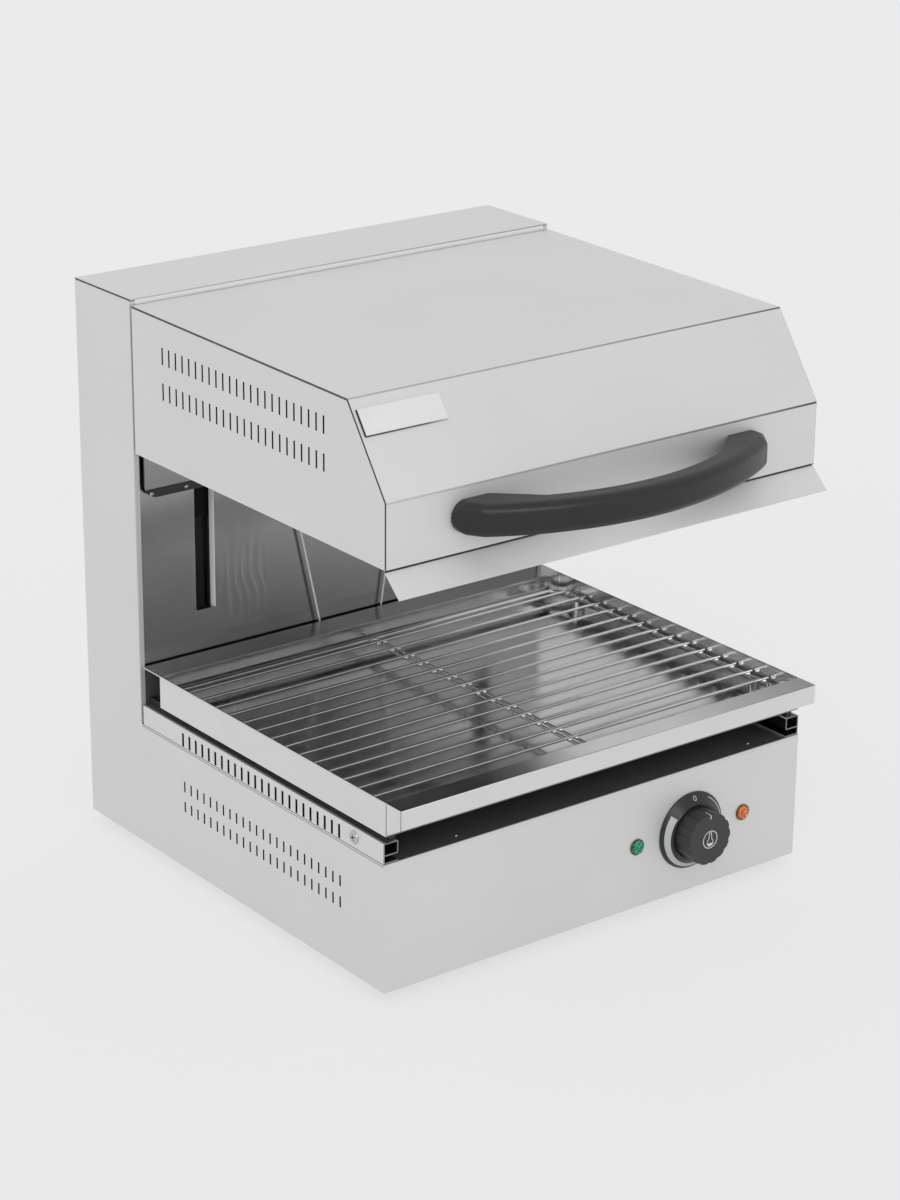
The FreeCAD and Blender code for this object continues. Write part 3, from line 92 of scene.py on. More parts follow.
def strip(tree, place, mark):
    # 1 inside a thin band either side of a plane, and only within the limits given along other axes
    level = addNode(tree, "VectorMath", {0: place, 1: mark["across"]}, operation="DOT_PRODUCT")
    away = addNode(tree, "Math", {0: level.outputs["Value"], 1: mark["at"]}, operation="SUBTRACT")
    # with a pitch the band comes again at each step
    distance = addNode(tree, "Math", {0: away.outputs[0], 1: mark.get("pitch", 0) / 2},
                       operation="PINGPONG" if "pitch" in mark else "ABSOLUTE")
    half = mark["width"] / 2
    soft = mark.get("soft", 0.12 * mm)
    found = addNode(tree, "MapRange", {"Value": distance.outputs[0], "From Min": max(half - soft, 0),
                                       "From Max": half + soft, "To Min": 1.0, "To Max": 0.0}).outputs[0]
    for axis, low, high in mark.get("within", ()):
        split = addNode(tree, "SeparateXYZ", {"Vector": place}).outputs[axis]
        above = addNode(tree, "Math", {0: split, 1: low}, operation="GREATER_THAN")
        below = addNode(tree, "Math", {0: split, 1: high}, operation="LESS_THAN")
        both = addNode(tree, "Math", {0: above.outputs[0], 1: below.outputs[0]}, operation="MULTIPLY")
        found = addNode(tree, "Math", {0: found, 1: both.outputs[0]}, operation="MULTIPLY").outputs[0]
    return found


def tintAlong(tree, place, tints):
    # a tint that changes along X, given as distances from the middle and colours
    low, high = tints[0][0], tints[-1][0]
    split = addNode(tree, "SeparateXYZ", {"Vector": place})
    share = addNode(tree, "MapRange", {"Value": split.outputs["X"], "From Min": low, "From Max": high})
    stops = [((x - low) / (high - low), code) for x, code in tints]
    return addNode(tree, "ValToRGB", {"Fac": share.outputs[0]}, stops).outputs["Color"]


def drawMarks(tree, place, colour, marks):
    for mark in marks:
        found = strip(tree, place, mark)
        tint = tintAlong(tree, place, mark["tints"]) if "tints" in mark else hexColour(mark["tint"])
        blend = addNode(tree, "Mix", {0: found, 6: colour, 7: tint}, data_type="RGBA")
        colour = blend.outputs[2]
    return colour


def satinStainless(name, base, darker, roughness, grain, along, metallic=1.0, marks=(), matte=(),
                   shade=None, waves=None):
    # cold-rolled stainless sheet with a satin polish: a very fine grain along the rolling direction,
    # soft even reflections, and the marks given paint light and shade on it, such as dull lines of painted
    # shade where the sheet is folded and dark ones where two sheets meet
    material, tree, shader, place = newMaterial(name)
    grainStep = 0.35 * mm   # polishing lines, drawn coarse enough to show
    scale = [1 / grainStep] * 3
    scale["xyz".index(along)] = 1 / (60 * mm)
    stretched = addNode(tree, "Mapping", {"Vector": place, "Scale": scale})
    lay = addNode(tree, "TexNoise", {"Vector": stretched.outputs[0], "Scale": 1.0, "Detail": 3.0})
    cloud = addNode(tree, "TexNoise", {"Vector": place, "Scale": 1 / (120 * mm), "Detail": 2.0})
    mixed = addNode(tree, "Math", {0: lay.outputs["Fac"], 1: cloud.outputs["Fac"]}, operation="ADD")
    half = addNode(tree, "Math", {0: mixed.outputs[0], 1: 0.5}, operation="MULTIPLY")
    colour = addNode(tree, "ValToRGB", {"Fac": half.outputs[0]}, [(0.3, darker), (0.62, base)]).outputs[0]
    if shade:   # painted shade: a broad slow change of tone up the sheet
        split = addNode(tree, "SeparateXYZ", {"Vector": place})
        share = addNode(tree, "MapRange", {"Value": split.outputs[shade["axis"]], "From Min": shade["low"],
                                           "From Max": shade["high"]})
        tone = addNode(tree, "ValToRGB", {"Fac": share.outputs[0]}, shade["stops"]).outputs[0]
        colour = addNode(tree, "Mix", {0: 1.0, 6: colour, 7: tone}, data_type="RGBA",
                         blend_type="MULTIPLY").outputs[2]
    relief, depth, strength = lay.outputs["Fac"], 0.02 * mm, 0.04
    if waves:
        relief, depth, strength = pressedWaves(tree, place, waves), waves["depth"], 1.0
        # painted highlight: the crests of the ripples are drawn lighter
        crest = addNode(tree, "Math", {0: relief, 1: waves["shine"]}, operation="MULTIPLY", use_clamp=True)
        colour = addNode(tree, "Mix", {0: crest.outputs[0], 6: colour, 7: hexColour("#ffffff")},
                         data_type="RGBA").outputs[2]
    colour = drawMarks(tree, place, colour, list(marks) + list(matte))
    tree.links.new(colour, shader.inputs["Base Color"])
    shader.inputs["Metallic"].default_value = metallic
    metal = metallic
    for mark in matte:   # the painted bright lines are made matt here, so that they show as painted highlights
        dull = addNode(tree, "Math", {0: 1.0, 1: strip(tree, place, mark)}, operation="SUBTRACT").outputs[0]
        metal = addNode(tree, "Math", {0: metal, 1: dull}, operation="MULTIPLY").outputs[0]
        tree.links.new(metal, shader.inputs["Metallic"])
    rough = addNode(tree, "MapRange", {"Value": lay.outputs["Fac"], "To Min": roughness - grain,
                                       "To Max": roughness + grain})
    tree.links.new(rough.outputs[0], shader.inputs["Roughness"])
    bump = addNode(tree, "Bump", {"Height": relief, "Strength": strength, "Distance": depth})
    tree.links.new(bump.outputs[0], shader.inputs["Normal"])
    return material


def pressedWaves(tree, place, waves):
    # shallow upright ripples that the press left beside the slot, fading out at their ends
    low, high = waves["low"], waves["high"]
    bent = addNode(tree, "TexNoise", {"Vector": place, "Scale": 1 / (50 * mm), "Detail": 0.0})
    split = addNode(tree, "SeparateXYZ", {"Vector": place})
    shifted = addNode(tree, "Math", {0: bent.outputs["Fac"], 1: waves["bend"], 2: split.outputs["X"]},
                      operation="MULTIPLY_ADD")
    turns = addNode(tree, "Math", {0: shifted.outputs[0], 1: 2 * math.pi / waves["pitch"]},
                    operation="MULTIPLY")
    wave = addNode(tree, "Math", {0: turns.outputs[0]}, operation="SINE").outputs[0]
    for axis, fade in (("X", waves["fadeX"]), ("Z", waves["fadeZ"])):
        for start, end in ((low[axis], low[axis] + fade), (high[axis], high[axis] - fade)):
            part = addNode(tree, "MapRange", {"Value": split.outputs[axis], "From Min": start,
                                              "From Max": end}, interpolation_type="SMOOTHSTEP")
            wave = addNode(tree, "Math", {0: wave, 1: part.outputs[0]}, operation="MULTIPLY").outputs[0]
    return wave


def plainFinish(name, light, dark, roughness, spread, grit, metallic=0.0, bump=0.1, depth=0.05 * mm,
                specular=0.5, marks=()):
    # one noise at the real grit size drives the shade, the roughness and a little relief
    material, tree, shader, place = newMaterial(name)
    fine = addNode(tree, "TexNoise", {"Vector": place, "Scale": 1 / grit, "Detail": 4.0})
    broad = addNode(tree, "TexNoise", {"Vector": place, "Scale": 1 / (25 * mm), "Detail": 2.0})
    both = addNode(tree, "Mix", {0: 0.5, 2: fine.outputs["Fac"], 3: broad.outputs["Fac"]})
    colour = addNode(tree, "ValToRGB", {"Fac": both.outputs[0]}, [(0.32, dark), (0.68, light)]).outputs[0]
    tree.links.new(drawMarks(tree, place, colour, marks), shader.inputs["Base Color"])
    rough = addNode(tree, "MapRange", {"Value": both.outputs[0], "From Min": 0.3, "From Max": 0.7,
                                       "To Min": roughness - spread, "To Max": roughness + spread})
    tree.links.new(rough.outputs[0], shader.inputs["Roughness"])
    shader.inputs["Metallic"].default_value = metallic
    shader.inputs["Specular IOR Level"].default_value = specular
    relief = addNode(tree, "Bump", {"Height": fine.outputs["Fac"], "Strength": bump, "Distance": depth})
    tree.links.new(relief.outputs[0], shader.inputs["Normal"])
    return material


def trayFinish(outer, inner):
    # one sheet with two faces: satin outside, and polished bright inside where it is wiped clean
    material, tree, shader, place = newMaterial("trayStainless")
    low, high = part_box("tray_pan")
    split = addNode(tree, "SeparateXYZ", {"Vector": place})
    side = addNode(tree, "Math", {0: split.outputs["X"]}, operation="ABSOLUTE")
    outside = addNode(tree, "Math", {0: side.outputs[0], 1: high.x - 0.4 * mm}, operation="GREATER_THAN")
    front = addNode(tree, "Math", {0: split.outputs["Y"], 1: low.y + 0.4 * mm}, operation="LESS_THAN")
    under = addNode(tree, "Math", {0: split.outputs["Z"], 1: low.z + 0.5 * mm}, operation="LESS_THAN")
    for face in (front, under):
        outside = addNode(tree, "Math", {0: outside.outputs[0], 1: face.outputs[0]}, operation="MAXIMUM")
    outside = outside.outputs[0]
    grain = {"length": 60 * mm, "step": 0.4 * mm, "cloud": 45 * mm}   # polishing lines run along X
    scale = (1 / grain["length"], 1 / grain["step"], 1 / grain["step"])
    stretched = addNode(tree, "Mapping", {"Vector": place, "Scale": scale}).outputs[0]
    lay, cloud = (addNode(tree, "TexNoise", {"Vector": over, "Scale": scale, "Detail": 3.0}).outputs[0]
                  for over, scale in ((stretched, 1.0), (place, 1 / grain["cloud"])))
    both = addNode(tree, "Mix", {0: 0.6, 2: lay, 3: cloud}).outputs[0]
    tones = [[(0.3, steel["darker"]), (0.62, steel["base"])] for steel in (inner, outer)]
    polished, satin = (addNode(tree, "ValToRGB", {"Fac": both}, stops).outputs[0] for stops in tones)
    colour = addNode(tree, "Mix", {0: outside, 6: polished, 7: satin}, data_type="RGBA").outputs[2]
    tree.links.new(drawMarks(tree, place, colour, inner["marks"]), shader.inputs["Base Color"])
    metal = addNode(tree, "Mix", {0: outside, 2: 1.0, 3: outer["metallic"]}).outputs[0]
    tree.links.new(metal, shader.inputs["Metallic"])
    dull = addNode(tree, "MapRange", {"Value": cloud, "From Min": 0.35, "From Max": 0.65,
                                      "To Min": inner["roughness"] - inner["spread"],
                                      "To Max": inner["roughness"] + inner["spread"]}).outputs[0]
    rough = addNode(tree, "Mix", {0: outside, 2: dull, 3: outer["roughness"]}).outputs[0]
    tree.links.new(rough, shader.inputs["Roughness"])
    bump = addNode(tree, "Bump", {"Height": lay, "Strength": 0.03, "Distance": 0.02 * mm})
    tree.links.new(bump.outputs[0], shader.inputs["Normal"])
    return material


def paint(material, *names):
    for name in names:
        piece = nodes[name] if name in nodes else bpy.data.objects[name]
        piece.data.materials.clear()
        piece.data.materials.append(material)


acrossX, acrossY, acrossZ = (1, 0, 0), (0, 1, 0), (0, 0, 1)
halfWidth, sheet = 225 * mm, 1 * mm
# where the hood's front sheet bends, and the slope between the bends in degrees
hoodFold = {"slantFoot": 54.4 * mm, "bendDepth": 47.9 * mm, "bendDrop": 3.8 * mm, "slope": 54.87}
outer = {"base": "#d6d6d6", "darker": "#d2d2d2", "roughness": 0.52, "grain": 0.03, "metallic": 0.5}
inner = {"base": "#c4c4c4", "darker": "#b8b8b8", "roughness": 0.2, "grain": 0.03}


def shadedEndLine(level, tint="#6c6c6c", width=0.3 * mm):
    # painted shade: the cut edge of a sheet at a seam, which faces sideways, drawn dark beside its face
    return {"across": acrossX, "at": level, "width": width, "tint": tint}


def thickness(side, *within):
    # the walls of slots through a side sheet, which lie in their own shadow
    return {"across": acrossX, "at": side * (halfWidth - sheet / 2), "width": 0.9 * sheet,
            "soft": 0.02 * mm, "tint": "#0c0c0c", "within": within}


def ventShadeLines(first, level, height, width=2.2 * mm):
    # painted shade: a thin dark line drawn around each punched slot, for the dark inside seen through it
    vent = {"pitch": 10.1 * mm, "count": 24, "rim": 0.25 * mm}
    start = frontY + first
    return {"across": acrossY, "at": start, "width": width, "pitch": vent["pitch"], "tint": "#101010",
            "within": [("Y", start - vent["pitch"] / 2, start + (vent["count"] - 0.5) * vent["pitch"]),
                       ("Z", level - vent["rim"], level + height + vent["rim"])]}


def paintCabinet():
    vents = {"first": 61 * mm, "levels": (64 * mm, 83 * mm), "height": 9.5 * mm}
    coverLow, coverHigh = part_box("column_top_cover")
    railLow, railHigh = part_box("rail_left")
    seam = railLow.z
    columnFront = coverLow.y
    grilled = [("Y", frontY, columnFront)]
    # painted shade: a dark and a grey line along the seam under the rails, a grey line at the column's front
    # fold, dark slot walls and a dark line round each vent
    marks = [
        {"across": acrossZ, "at": seam - 0.2 * mm, "width": 0.9 * mm, "tint": "#3c3c3c", "within": grilled},
        {"across": acrossZ, "at": seam - 2.4 * mm, "width": 0.9 * mm, "tint": "#929292", "within": grilled},
        {"across": acrossY, "at": columnFront + 0.7 * mm, "width": 0.5 * mm, "tint": "#8c8c8c",
         "within": [("Z", seam, 1.0)]},
        thickness(-1, ("Z", 0.0, seam - 10 * mm)), thickness(1, ("Z", 0.0, seam - 10 * mm)),
    ] + [ventShadeLines(vents["first"], level, vents["height"]) for level in vents["levels"]]
    paint(satinStainless("satinStainlessUpright", along="z", marks=marks, **outer),
          "side_panel_left", "side_panel_right")
    # painted shade: the inside of the rails is drawn near black
    hollow = {"across": acrossX, "width": 13.7 * mm, "soft": 0.02 * mm, "tint": "#1c1c1c",
              "within": [("Z", railLow.z + 0.95 * mm, railHigh.z - 1.05 * mm)]}
    centre = railHigh.x - 6.75 * mm
    # painted shade: under the tray the top of the rail is darker towards the inside
    shadowed = {"across": acrossX, "width": 5 * mm, "soft": 6 * mm, "tint": "#303030",
                "within": [("Z", railHigh.z - 0.4 * mm, railHigh.z + 0.4 * mm)]}
    slots = {"first": 62 * mm, "lift": 1 * mm, "height": 12 * mm, "width": 3 * mm, "last": 298 * mm}
    slotWalls = (("Z", railLow.z + 1.2 * mm, railLow.z + 12.8 * mm),
                 ("Y", frontY + slots["first"] - 4 * mm, frontY + slots["last"]))
    marks = [
        dict(hollow, at=centre), dict(hollow, at=-centre),
        # painted shade: the rails' cut front ends are drawn grey
        {"across": acrossY, "at": railLow.y, "width": 0.3 * mm, "tint": "#8c8c8c"},
        dict(shadowed, at=centre - 3 * mm), dict(shadowed, at=3 * mm - centre),
        thickness(-1, *slotWalls), thickness(1, *slotWalls),
        ventShadeLines(slots["first"], railLow.z + slots["lift"], slots["height"], slots["width"]),
    ]
    paint(satinStainless("satinStainlessRail", along="y", marks=marks, **outer), "rail_left", "rail_right")
    paint(satinStainless("satinStainlessFront", along="x", **outer), "front_panel")
    diagonal = math.sqrt(0.5)
    # painted shade: a grey line along the cover's front fold, darker towards the right, and dark cut ends at
    # the seams; painted light: the cover's narrow front face drawn near white against the shade it lies in
    fold = {"across": (0, diagonal, -diagonal), "at": diagonal * (coverLow.y - coverHigh.z),
            "width": 0.9 * mm, "tints": [(-halfWidth, "#a0a0a0"), (0.05, "#8c8c8c"), (halfWidth, "#606060")]}
    face = {"across": acrossY, "at": coverLow.y, "width": 0.4 * mm, "tint": "#f0f0f0",
            "within": [("Z", 0.0, coverHigh.z - 1.2 * mm)]}
    ends = [face, shadedEndLine(coverLow.x, "#1c1c1c"), shadedEndLine(coverHigh.x, "#1c1c1c")]
    paint(satinStainless("satinStainlessCover", along="x", marks=[fold] + ends, **outer), "column_top_cover")
    paint(satinStainless("satinStainlessRear", along="z", **outer), "column_rear_cover")


def paintBackPanel():
    slot = {"edge": -145.3 * mm, "foot": 217 * mm, "head": 498 * mm}
    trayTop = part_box("tray_pan")[1].z
    # painted reflections: two bright slanted streaks on the polished panel, each with a band of painted shade
    # beside it; the bright streaks go in as matte marks
    paintedStreaks = []
    for streak in (   # in millimetres
        {"top": (-52.2, 266.7), "bottom": (-32.1, 175.9)},
        {"top": (41.3, 207.8), "bottom": (36.2, 175.9)},
    ):
        (x1, z1), (x0, z0) = streak["top"], streak["bottom"]
        length = math.hypot(x1 - x0, z1 - z0)
        across = ((z1 - z0) / length, 0, -(x1 - x0) / length)
        at = (x0 * across[0] + z0 * across[2]) * mm
        paintedStreaks.append({"across": across, "at": at, "width": 1.9 * mm, "tint": "#f4f4f4", "soft": 0.5 * mm})
        paintedStreaks.append({"across": across, "at": at - 6 * mm, "width": 2.6 * mm, "tint": "#606060",
                        "soft": 1.2 * mm})
    # painted highlight along the slot's edge, and painted shade in a soft dark band at the foot of the panel
    # above the tray
    slotEdge = {"across": acrossX, "at": slot["edge"], "width": 1.2 * mm, "tint": "#f0f0f0",
                "within": [("Z", slot["foot"], slot["head"])]}
    foot = {"across": acrossZ, "at": trayTop - 2 * mm, "width": 5 * mm, "tint": "#787878", "soft": 2 * mm}
    paint(satinStainless(
        "polishedStainlessBack", along="z", marks=[foot, paintedStreaks[1], paintedStreaks[3]],
        matte=[paintedStreaks[0], paintedStreaks[2], slotEdge],
        # painted shade: the panel is drawn darker near the tray and near the top of this range
        shade={"axis": "Z", "low": trayTop, "high": trayTop + 0.14,
               "stops": [(0.0, "#cccccc"), (0.2, "#d2d2d2"), (0.44, "#e1e1e1"), (0.72, "#fdfdfd"),
                         (0.95, "#d2d2d2")]},
        waves={"low": {"X": -0.145, "Z": 0.19}, "high": {"X": -0.082, "Z": 0.28}, "pitch": 8.6 * mm,
               "bend": 0.025, "shine": 0.2, "fadeX": 14 * mm, "fadeZ": 40 * mm, "depth": 0.07 * mm},
        **dict(inner, base="#dadada", darker="#cecece")), "back_panel")


def paintHood():
    low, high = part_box("hood_shell")
    across = (-halfWidth, 0.0, 165 * mm, halfWidth)
    # painted shade: grey lines along the two folds of the front sheet, darker towards the right, a dark line
    # along its lower edge, and dark cut ends at the seams
    marks = [
        {"across": acrossZ, "at": low.z + hoodFold["slantFoot"], "width": 1.7 * mm, "soft": 0.3 * mm,
         "tints": list(zip(across, ("#c0c0c0", "#a8a8a8", "#7c7c7c", "#404040")))},
        {"across": acrossY, "at": frontY + hoodFold["bendDepth"], "width": 1.3 * mm,
         "tints": list(zip(across, ("#b0b0b0", "#a0a0a0", "#7c7c7c", "#585858")))},
        {"across": acrossZ, "at": low.z, "width": 1.0 * mm, "tint": "#262626",
         "within": [("Y", -1.0, low.y + 2 * mm)]},
        shadedEndLine(low.x, "#4a4a4a"), shadedEndLine(high.x, "#4a4a4a"),
    ]
    paint(satinStainless("satinStainlessHood", along="x", marks=marks, **outer), "hood_shell")
    vents = {"first": 80 * mm, "lifts": (59 * mm, 90 * mm), "height": 14.5 * mm}
    slots = [ventShadeLines(vents["first"], low.z + lift, vents["height"]) for lift in vents["lifts"]]
    paint(satinStainless("satinStainlessSides", along="y", marks=[thickness(-1), thickness(1)] + slots,
                         **outer), "hood_side_left", "hood_side_right")
    # painted shade: a dark line on the deflector along the gap under the hood's front sheet
    joint = {"across": acrossZ, "at": low.z - 0.5 * mm, "width": 2.2 * mm, "tint": "#262626",
             "within": [("Y", -1.0, low.y + 2 * mm)]}
    # the deflector kept the dull mill finish of the sheet
    dull = dict(outer, metallic=0.15, roughness=0.6, base="#d0d0d0", darker="#cccccc")
    # painted light: a little brighter in the middle, below the handle, against the handle's shade there
    paintedLightUnderHandle = {"across": acrossX, "at": 0, "width": 160 * mm, "soft": 60 * mm, "tint": "#e8e8e8"}
    paint(satinStainless("dullStainlessDeflector", along="x", marks=[paintedLightUnderHandle, joint], **dull),
          "hood_deflector")
    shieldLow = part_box("hood_rear_shield")[0].z
    # painted reflection: a dark band along the shield's foot, for the dark tray it mirrors; painted shade:
    # the shield's steel is drawn darker than the other polished steel
    band = {"across": acrossZ, "at": shieldLow + 3.75 * mm, "width": 7.6 * mm, "tint": "#484848"}
    shield = dict(inner, base="#a4a4a4", darker="#9a9a9a", roughness=0.3)
    paint(satinStainless("polishedStainlessShield", along="x", marks=[band], **shield), "hood_rear_shield")
    shield.update(base="#8a8a8a", darker="#7e7e7e")
    paint(satinStainless("sootyStainlessReflector", along="x", **shield), "hood_reflector", "element_hangers")


def paintTray():
    low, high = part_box("tray_pan")
    wall = high.x - 0.5 * mm
    flange = {"across": acrossZ, "at": high.z, "width": 1.0 * mm}
    rim = {"across": acrossX, "width": 1.0 * mm, "tint": "#c8c8c8",
           "within": [("Z", high.z - 0.3 * mm, 1.0)]}
    lines = [
        {"across": acrossY, "at": frontY - 0.4 * mm, "width": 0.9 * mm, "tint": "#4a4a4a",
         "within": [("Z", low.z, high.z - 0.8 * mm)]},
        # painted shade: the front and rear flanges are drawn darker towards the right
        dict(flange, within=[("Y", low.y, frontY + 1 * mm)],
             tints=[(low.x, "#e8e8e8"), (-80 * mm, "#dcdcdc"), (0, "#c8c8c8"), (60 * mm, "#c4c4c4"),
                    (130 * mm, "#a8a8a8"), (high.x, "#858585")]),
        dict(flange, within=[("Y", high.y - 28 * mm, high.y)],
             tints=[(low.x, "#b8b8b8"), (-100 * mm, "#8c8c8c"), (high.x, "#848484")]),
        dict(rim, at=-wall), dict(rim, at=wall),
        {"across": acrossX, "at": low.x, "width": 0.9 * mm, "tint": "#777777",
         "within": [("Y", low.y - 1 * mm, low.y + 0.5 * mm)]},
        # painted light: the inside face of the right wall is drawn near white
        {"across": acrossX, "at": wall - 0.5 * mm, "width": 0.4 * mm, "tint": "#f4f4f4",
         "within": [("Z", low.z, high.z - 1.2 * mm)]},
    ]
    polished = dict(inner, roughness=0.18, spread=0.05, marks=lines)
    paint(trayFinish(outer, polished), "tray_pan")


def paintFittings():
    # painted shade: a dark grey deck with a soft sheen, standing for the shade under the tray
    paint(plainFinish("deckPaintedShade", "#505050", "#484848", 0.5, 0.05, 2 * mm), "base_deck")
    # painted shade: the lift arms and carriage drawn black, for the dark seen through the slot
    paint(plainFinish("armsPaintedShade", "#0c0c0c", "#080808", 0.6, 0.05, 2 * mm, specular=0.2),
          "lift_arms", "carriage")
    # zinc-coated sheet: dull grey with crystals a few millimetres across
    paint(plainFinish("galvanisedSheet", "#9a9c9e", "#808284", 0.45, 0.08, 4 * mm, metallic=1.0),
          "bottom_plate", "guide_channels", "pulley_beam")
    # zinc-plated fasteners: bright with a satin grain
    paint(plainFinish("zincPlate", "#c8c8c6", "#b0b0ae", 0.3, 0.06, 0.8 * mm, metallic=1.0),
          "foot_fasteners", "handle_screws", "arm_bolts", "roller_axles", "pulley_axles",
          "thermostat_screws", "bonding_stud", "thermostat_shaft")
    # bright-plated wire: nickel over drawn steel
    paint(plainFinish("nickelWire", "#d0d0d0", "#bcbcbc", 0.22, 0.05, 1.5 * mm, metallic=1.0),
          "rack_frame", "rack_wires")
    # nitrile rubber, matt and slightly dusty
    paint(plainFinish("rubber", "#242424", "#181818", 0.75, 0.08, 0.7 * mm, bump=0.3),
          "rubber_feet", "weight_buffers")
    # low-friction nylon strip
    paint(plainFinish("blackNylonStrip", "#181818", "#101010", 0.5, 0.06, 1.2 * mm), "tray_runners")
    # heating tube, darkened by heat
    paint(plainFinish("elementSteel", "#4a4540", "#2e2b28", 0.5, 0.1, 3 * mm, metallic=0.8),
          "heating_elements")
    # glazed ceramic bush
    paint(plainFinish("glazedCeramic", "#ece6da", "#e0d8c8", 0.2, 0.05, 2 * mm), "element_bushes")
    # moulded phenolic: black with a fine satin skin
    paint(plainFinish("blackPhenolic", "#1e1e1e", "#1a1a1a", 0.36, 0.05, 0.9 * mm, bump=0.12, specular=0.42),
          "handle")
    # moulded ABS: near black, the knob a little greyer from handling than its dial
    paint(plainFinish("blackAbs", "#2e2e2e", "#282828", 0.4, 0.05, 0.8 * mm, bump=0.12), "knob")
    paint(plainFinish("blackAbsDial", "#1c1c1c", "#181818", 0.3, 0.05, 0.8 * mm, bump=0.12),
          "dial_bezel", "cable_gland", "thermostat")
    # turned nylon
    paint(plainFinish("turnedNylon", "#e2dfd2", "#d2cfc2", 0.45, 0.06, 1 * mm),
          "guide_roller_left_lower", "guide_roller_left_upper", "guide_roller_right_lower",
          "guide_roller_right_upper", "pulley_left", "pulley_right")
    # cast iron under black paint
    paint(plainFinish("castIron", "#2c2c2c", "#1c1c1c", 0.7, 0.08, 1.5 * mm, bump=0.5, depth=0.2 * mm),
          "counterweight")
    # moulded polyamide, off-white and dull
    paint(plainFinish("terminalPolyamide", "#d4d0c4", "#c6c2b6", 0.5, 0.06, 1 * mm), "terminal_block")
    # moulded polycarbonate, brown with a soft gloss
    paint(plainFinish("lampRingPolycarbonate", "#5a3a24", "#44301e", 0.3, 0.05, 1 * mm), "lamp_bodies")


# modelling helpers

def startPiece(kind, **settings):
    bpy.ops.object.select_all(action="DESELECT")
    getattr(bpy.ops.mesh, "primitive_" + kind + "_add")(**settings)
    bpy.ops.object.transform_apply(location=True, rotation=True, scale=True)
    return bpy.context.object


def edit():
    bpy.ops.object.mode_set(mode="EDIT")


def leaveEdit():
    bpy.ops.object.mode_set(mode="OBJECT")


def pick(kind, test):
    # in edit mode: selects the faces, edges or verts that pass the test
    bpy.ops.mesh.select_mode(type={"faces": "FACE", "edges": "EDGE", "verts": "VERT"}[kind])
    bpy.ops.mesh.select_all(action="DESELECT")
    mesh = bmesh.from_edit_mesh(bpy.context.object.data)
    for item in getattr(mesh, kind):
        item.select_set(test(item))
    mesh.select_flush_mode()
    bmesh.update_edit_mesh(bpy.context.object.data)


def middle(item):
    return sum((v.co for v in item.verts), Vector()) / len(item.verts)


def applyModifier(piece, kind, **settings):
    modifier = piece.modifiers.new(kind.lower(), kind)
    for name, value in settings.items():
        setattr(modifier, name, value)
    bpy.context.view_layer.objects.active = piece
    bpy.ops.object.modifier_apply(modifier=modifier.name)


def cutWith(piece, tool, operation="DIFFERENCE"):
    applyModifier(piece, "BOOLEAN", object=tool, operation=operation, solver="EXACT")
    bpy.data.objects.remove(tool)


def settle(piece, place, turn=(0, 0, 0)):
    # moves and turns a piece, then keeps that in its mesh
    bpy.ops.object.select_all(action="DESELECT")
    piece.select_set(True)
    bpy.context.view_layer.objects.active = piece
    piece.location = place
    piece.rotation_euler = turn
    bpy.ops.object.transform_apply(location=True, rotation=True, scale=True)


def copyOf(piece, name):
    twin = piece.copy()
    twin.data = piece.data.copy()
    twin.name = name
    bpy.context.scene.collection.objects.link(twin)
    return twin


def joinAll(pieces, name):
    bpy.ops.object.select_all(action="DESELECT")
    for piece in pieces:
        piece.select_set(True)
    bpy.context.view_layer.objects.active = pieces[0]
    if len(pieces) > 1:
        bpy.ops.object.join()
    pieces[0].name = name
    return pieces[0]


def hand(piece, name, material, body, slot, *replaced):
    # names a finished piece, gives it its finish, unless it has its own already, and its body
    piece.name = name
    bpy.ops.object.select_all(action="DESELECT")
    piece.select_set(True)
    bpy.context.view_layer.objects.active = piece
    bpy.ops.object.shade_smooth_by_angle(angle=math.radians(35))
    if not piece.data.materials:
        piece.data.materials.append(material)
    if body:
        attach(piece, body)
    if replaced:
        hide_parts(*replaced)
    return piece


# fasteners

def crossScrew(size, finishes):
    # a pan head with a cross recess and its shank, head up from the origin
    radius, height = size["headRadius"], size["headHeight"]
    head = startPiece("cylinder", vertices=32, radius=radius, depth=height, location=(0, 0, height / 2))
    edit()
    pick("edges", lambda e: all(v.co.z > height * 0.9 for v in e.verts))
    bpy.ops.mesh.bevel(offset=height * 0.62, segments=4, affect="EDGES", profile=0.5)
    pick("faces", lambda f: f.normal.z < -0.9)
    bpy.ops.mesh.inset(thickness=radius - size["shankRadius"])
    bpy.ops.mesh.extrude_region_move(TRANSFORM_OT_translate={"value": (0, 0, -size["shankLength"])})
    leaveEdit()
    arm, reach = radius * 0.2, radius * 0.62
    blade = startPiece("cube", size=arm, location=(0, 0, height))
    edit()
    for axis in (0, 1):
        for sign in (-1, 1):
            pick("faces", lambda f: f.normal[axis] * sign > 0.9 and abs(f.normal[axis]) > 0.9
                 and abs(middle(f)[1 - axis]) < arm)
            push = [0, 0, 0]
            push[axis] = sign * (reach - arm / 2)
            bpy.ops.mesh.extrude_region_move(TRANSFORM_OT_translate={"value": push})
    bpy.ops.mesh.select_all(action="SELECT")
    bpy.ops.transform.resize(value=(1, 1, 1.6 * height / arm), center_override=(0, 0, height))
    pick("verts", lambda v: v.co.z < height)
    bpy.ops.transform.resize(value=(0.72, 0.72, 1), center_override=(0, 0, 0))
    leaveEdit()
    for piece in (head, blade):
        for finish in finishes:
            piece.data.materials.append(finish)
    for face in blade.data.polygons:
        face.material_index = 1
    cutWith(head, blade)
    return head


def screwSet(name, size, places, body, node, finishes):
    master = crossScrew(size, finishes)
    screws = []
    for number, (place, turn, twist) in enumerate(places):
        screw = copyOf(master, f"{name}{number}")
        settle(screw, (0, 0, 0), (0, 0, math.radians(twist)))
        settle(screw, place, turn)
        screws.append(screw)
    bpy.data.objects.remove(master)
    hand(joinAll(screws, name), name, None, body, "plated_steel", node)


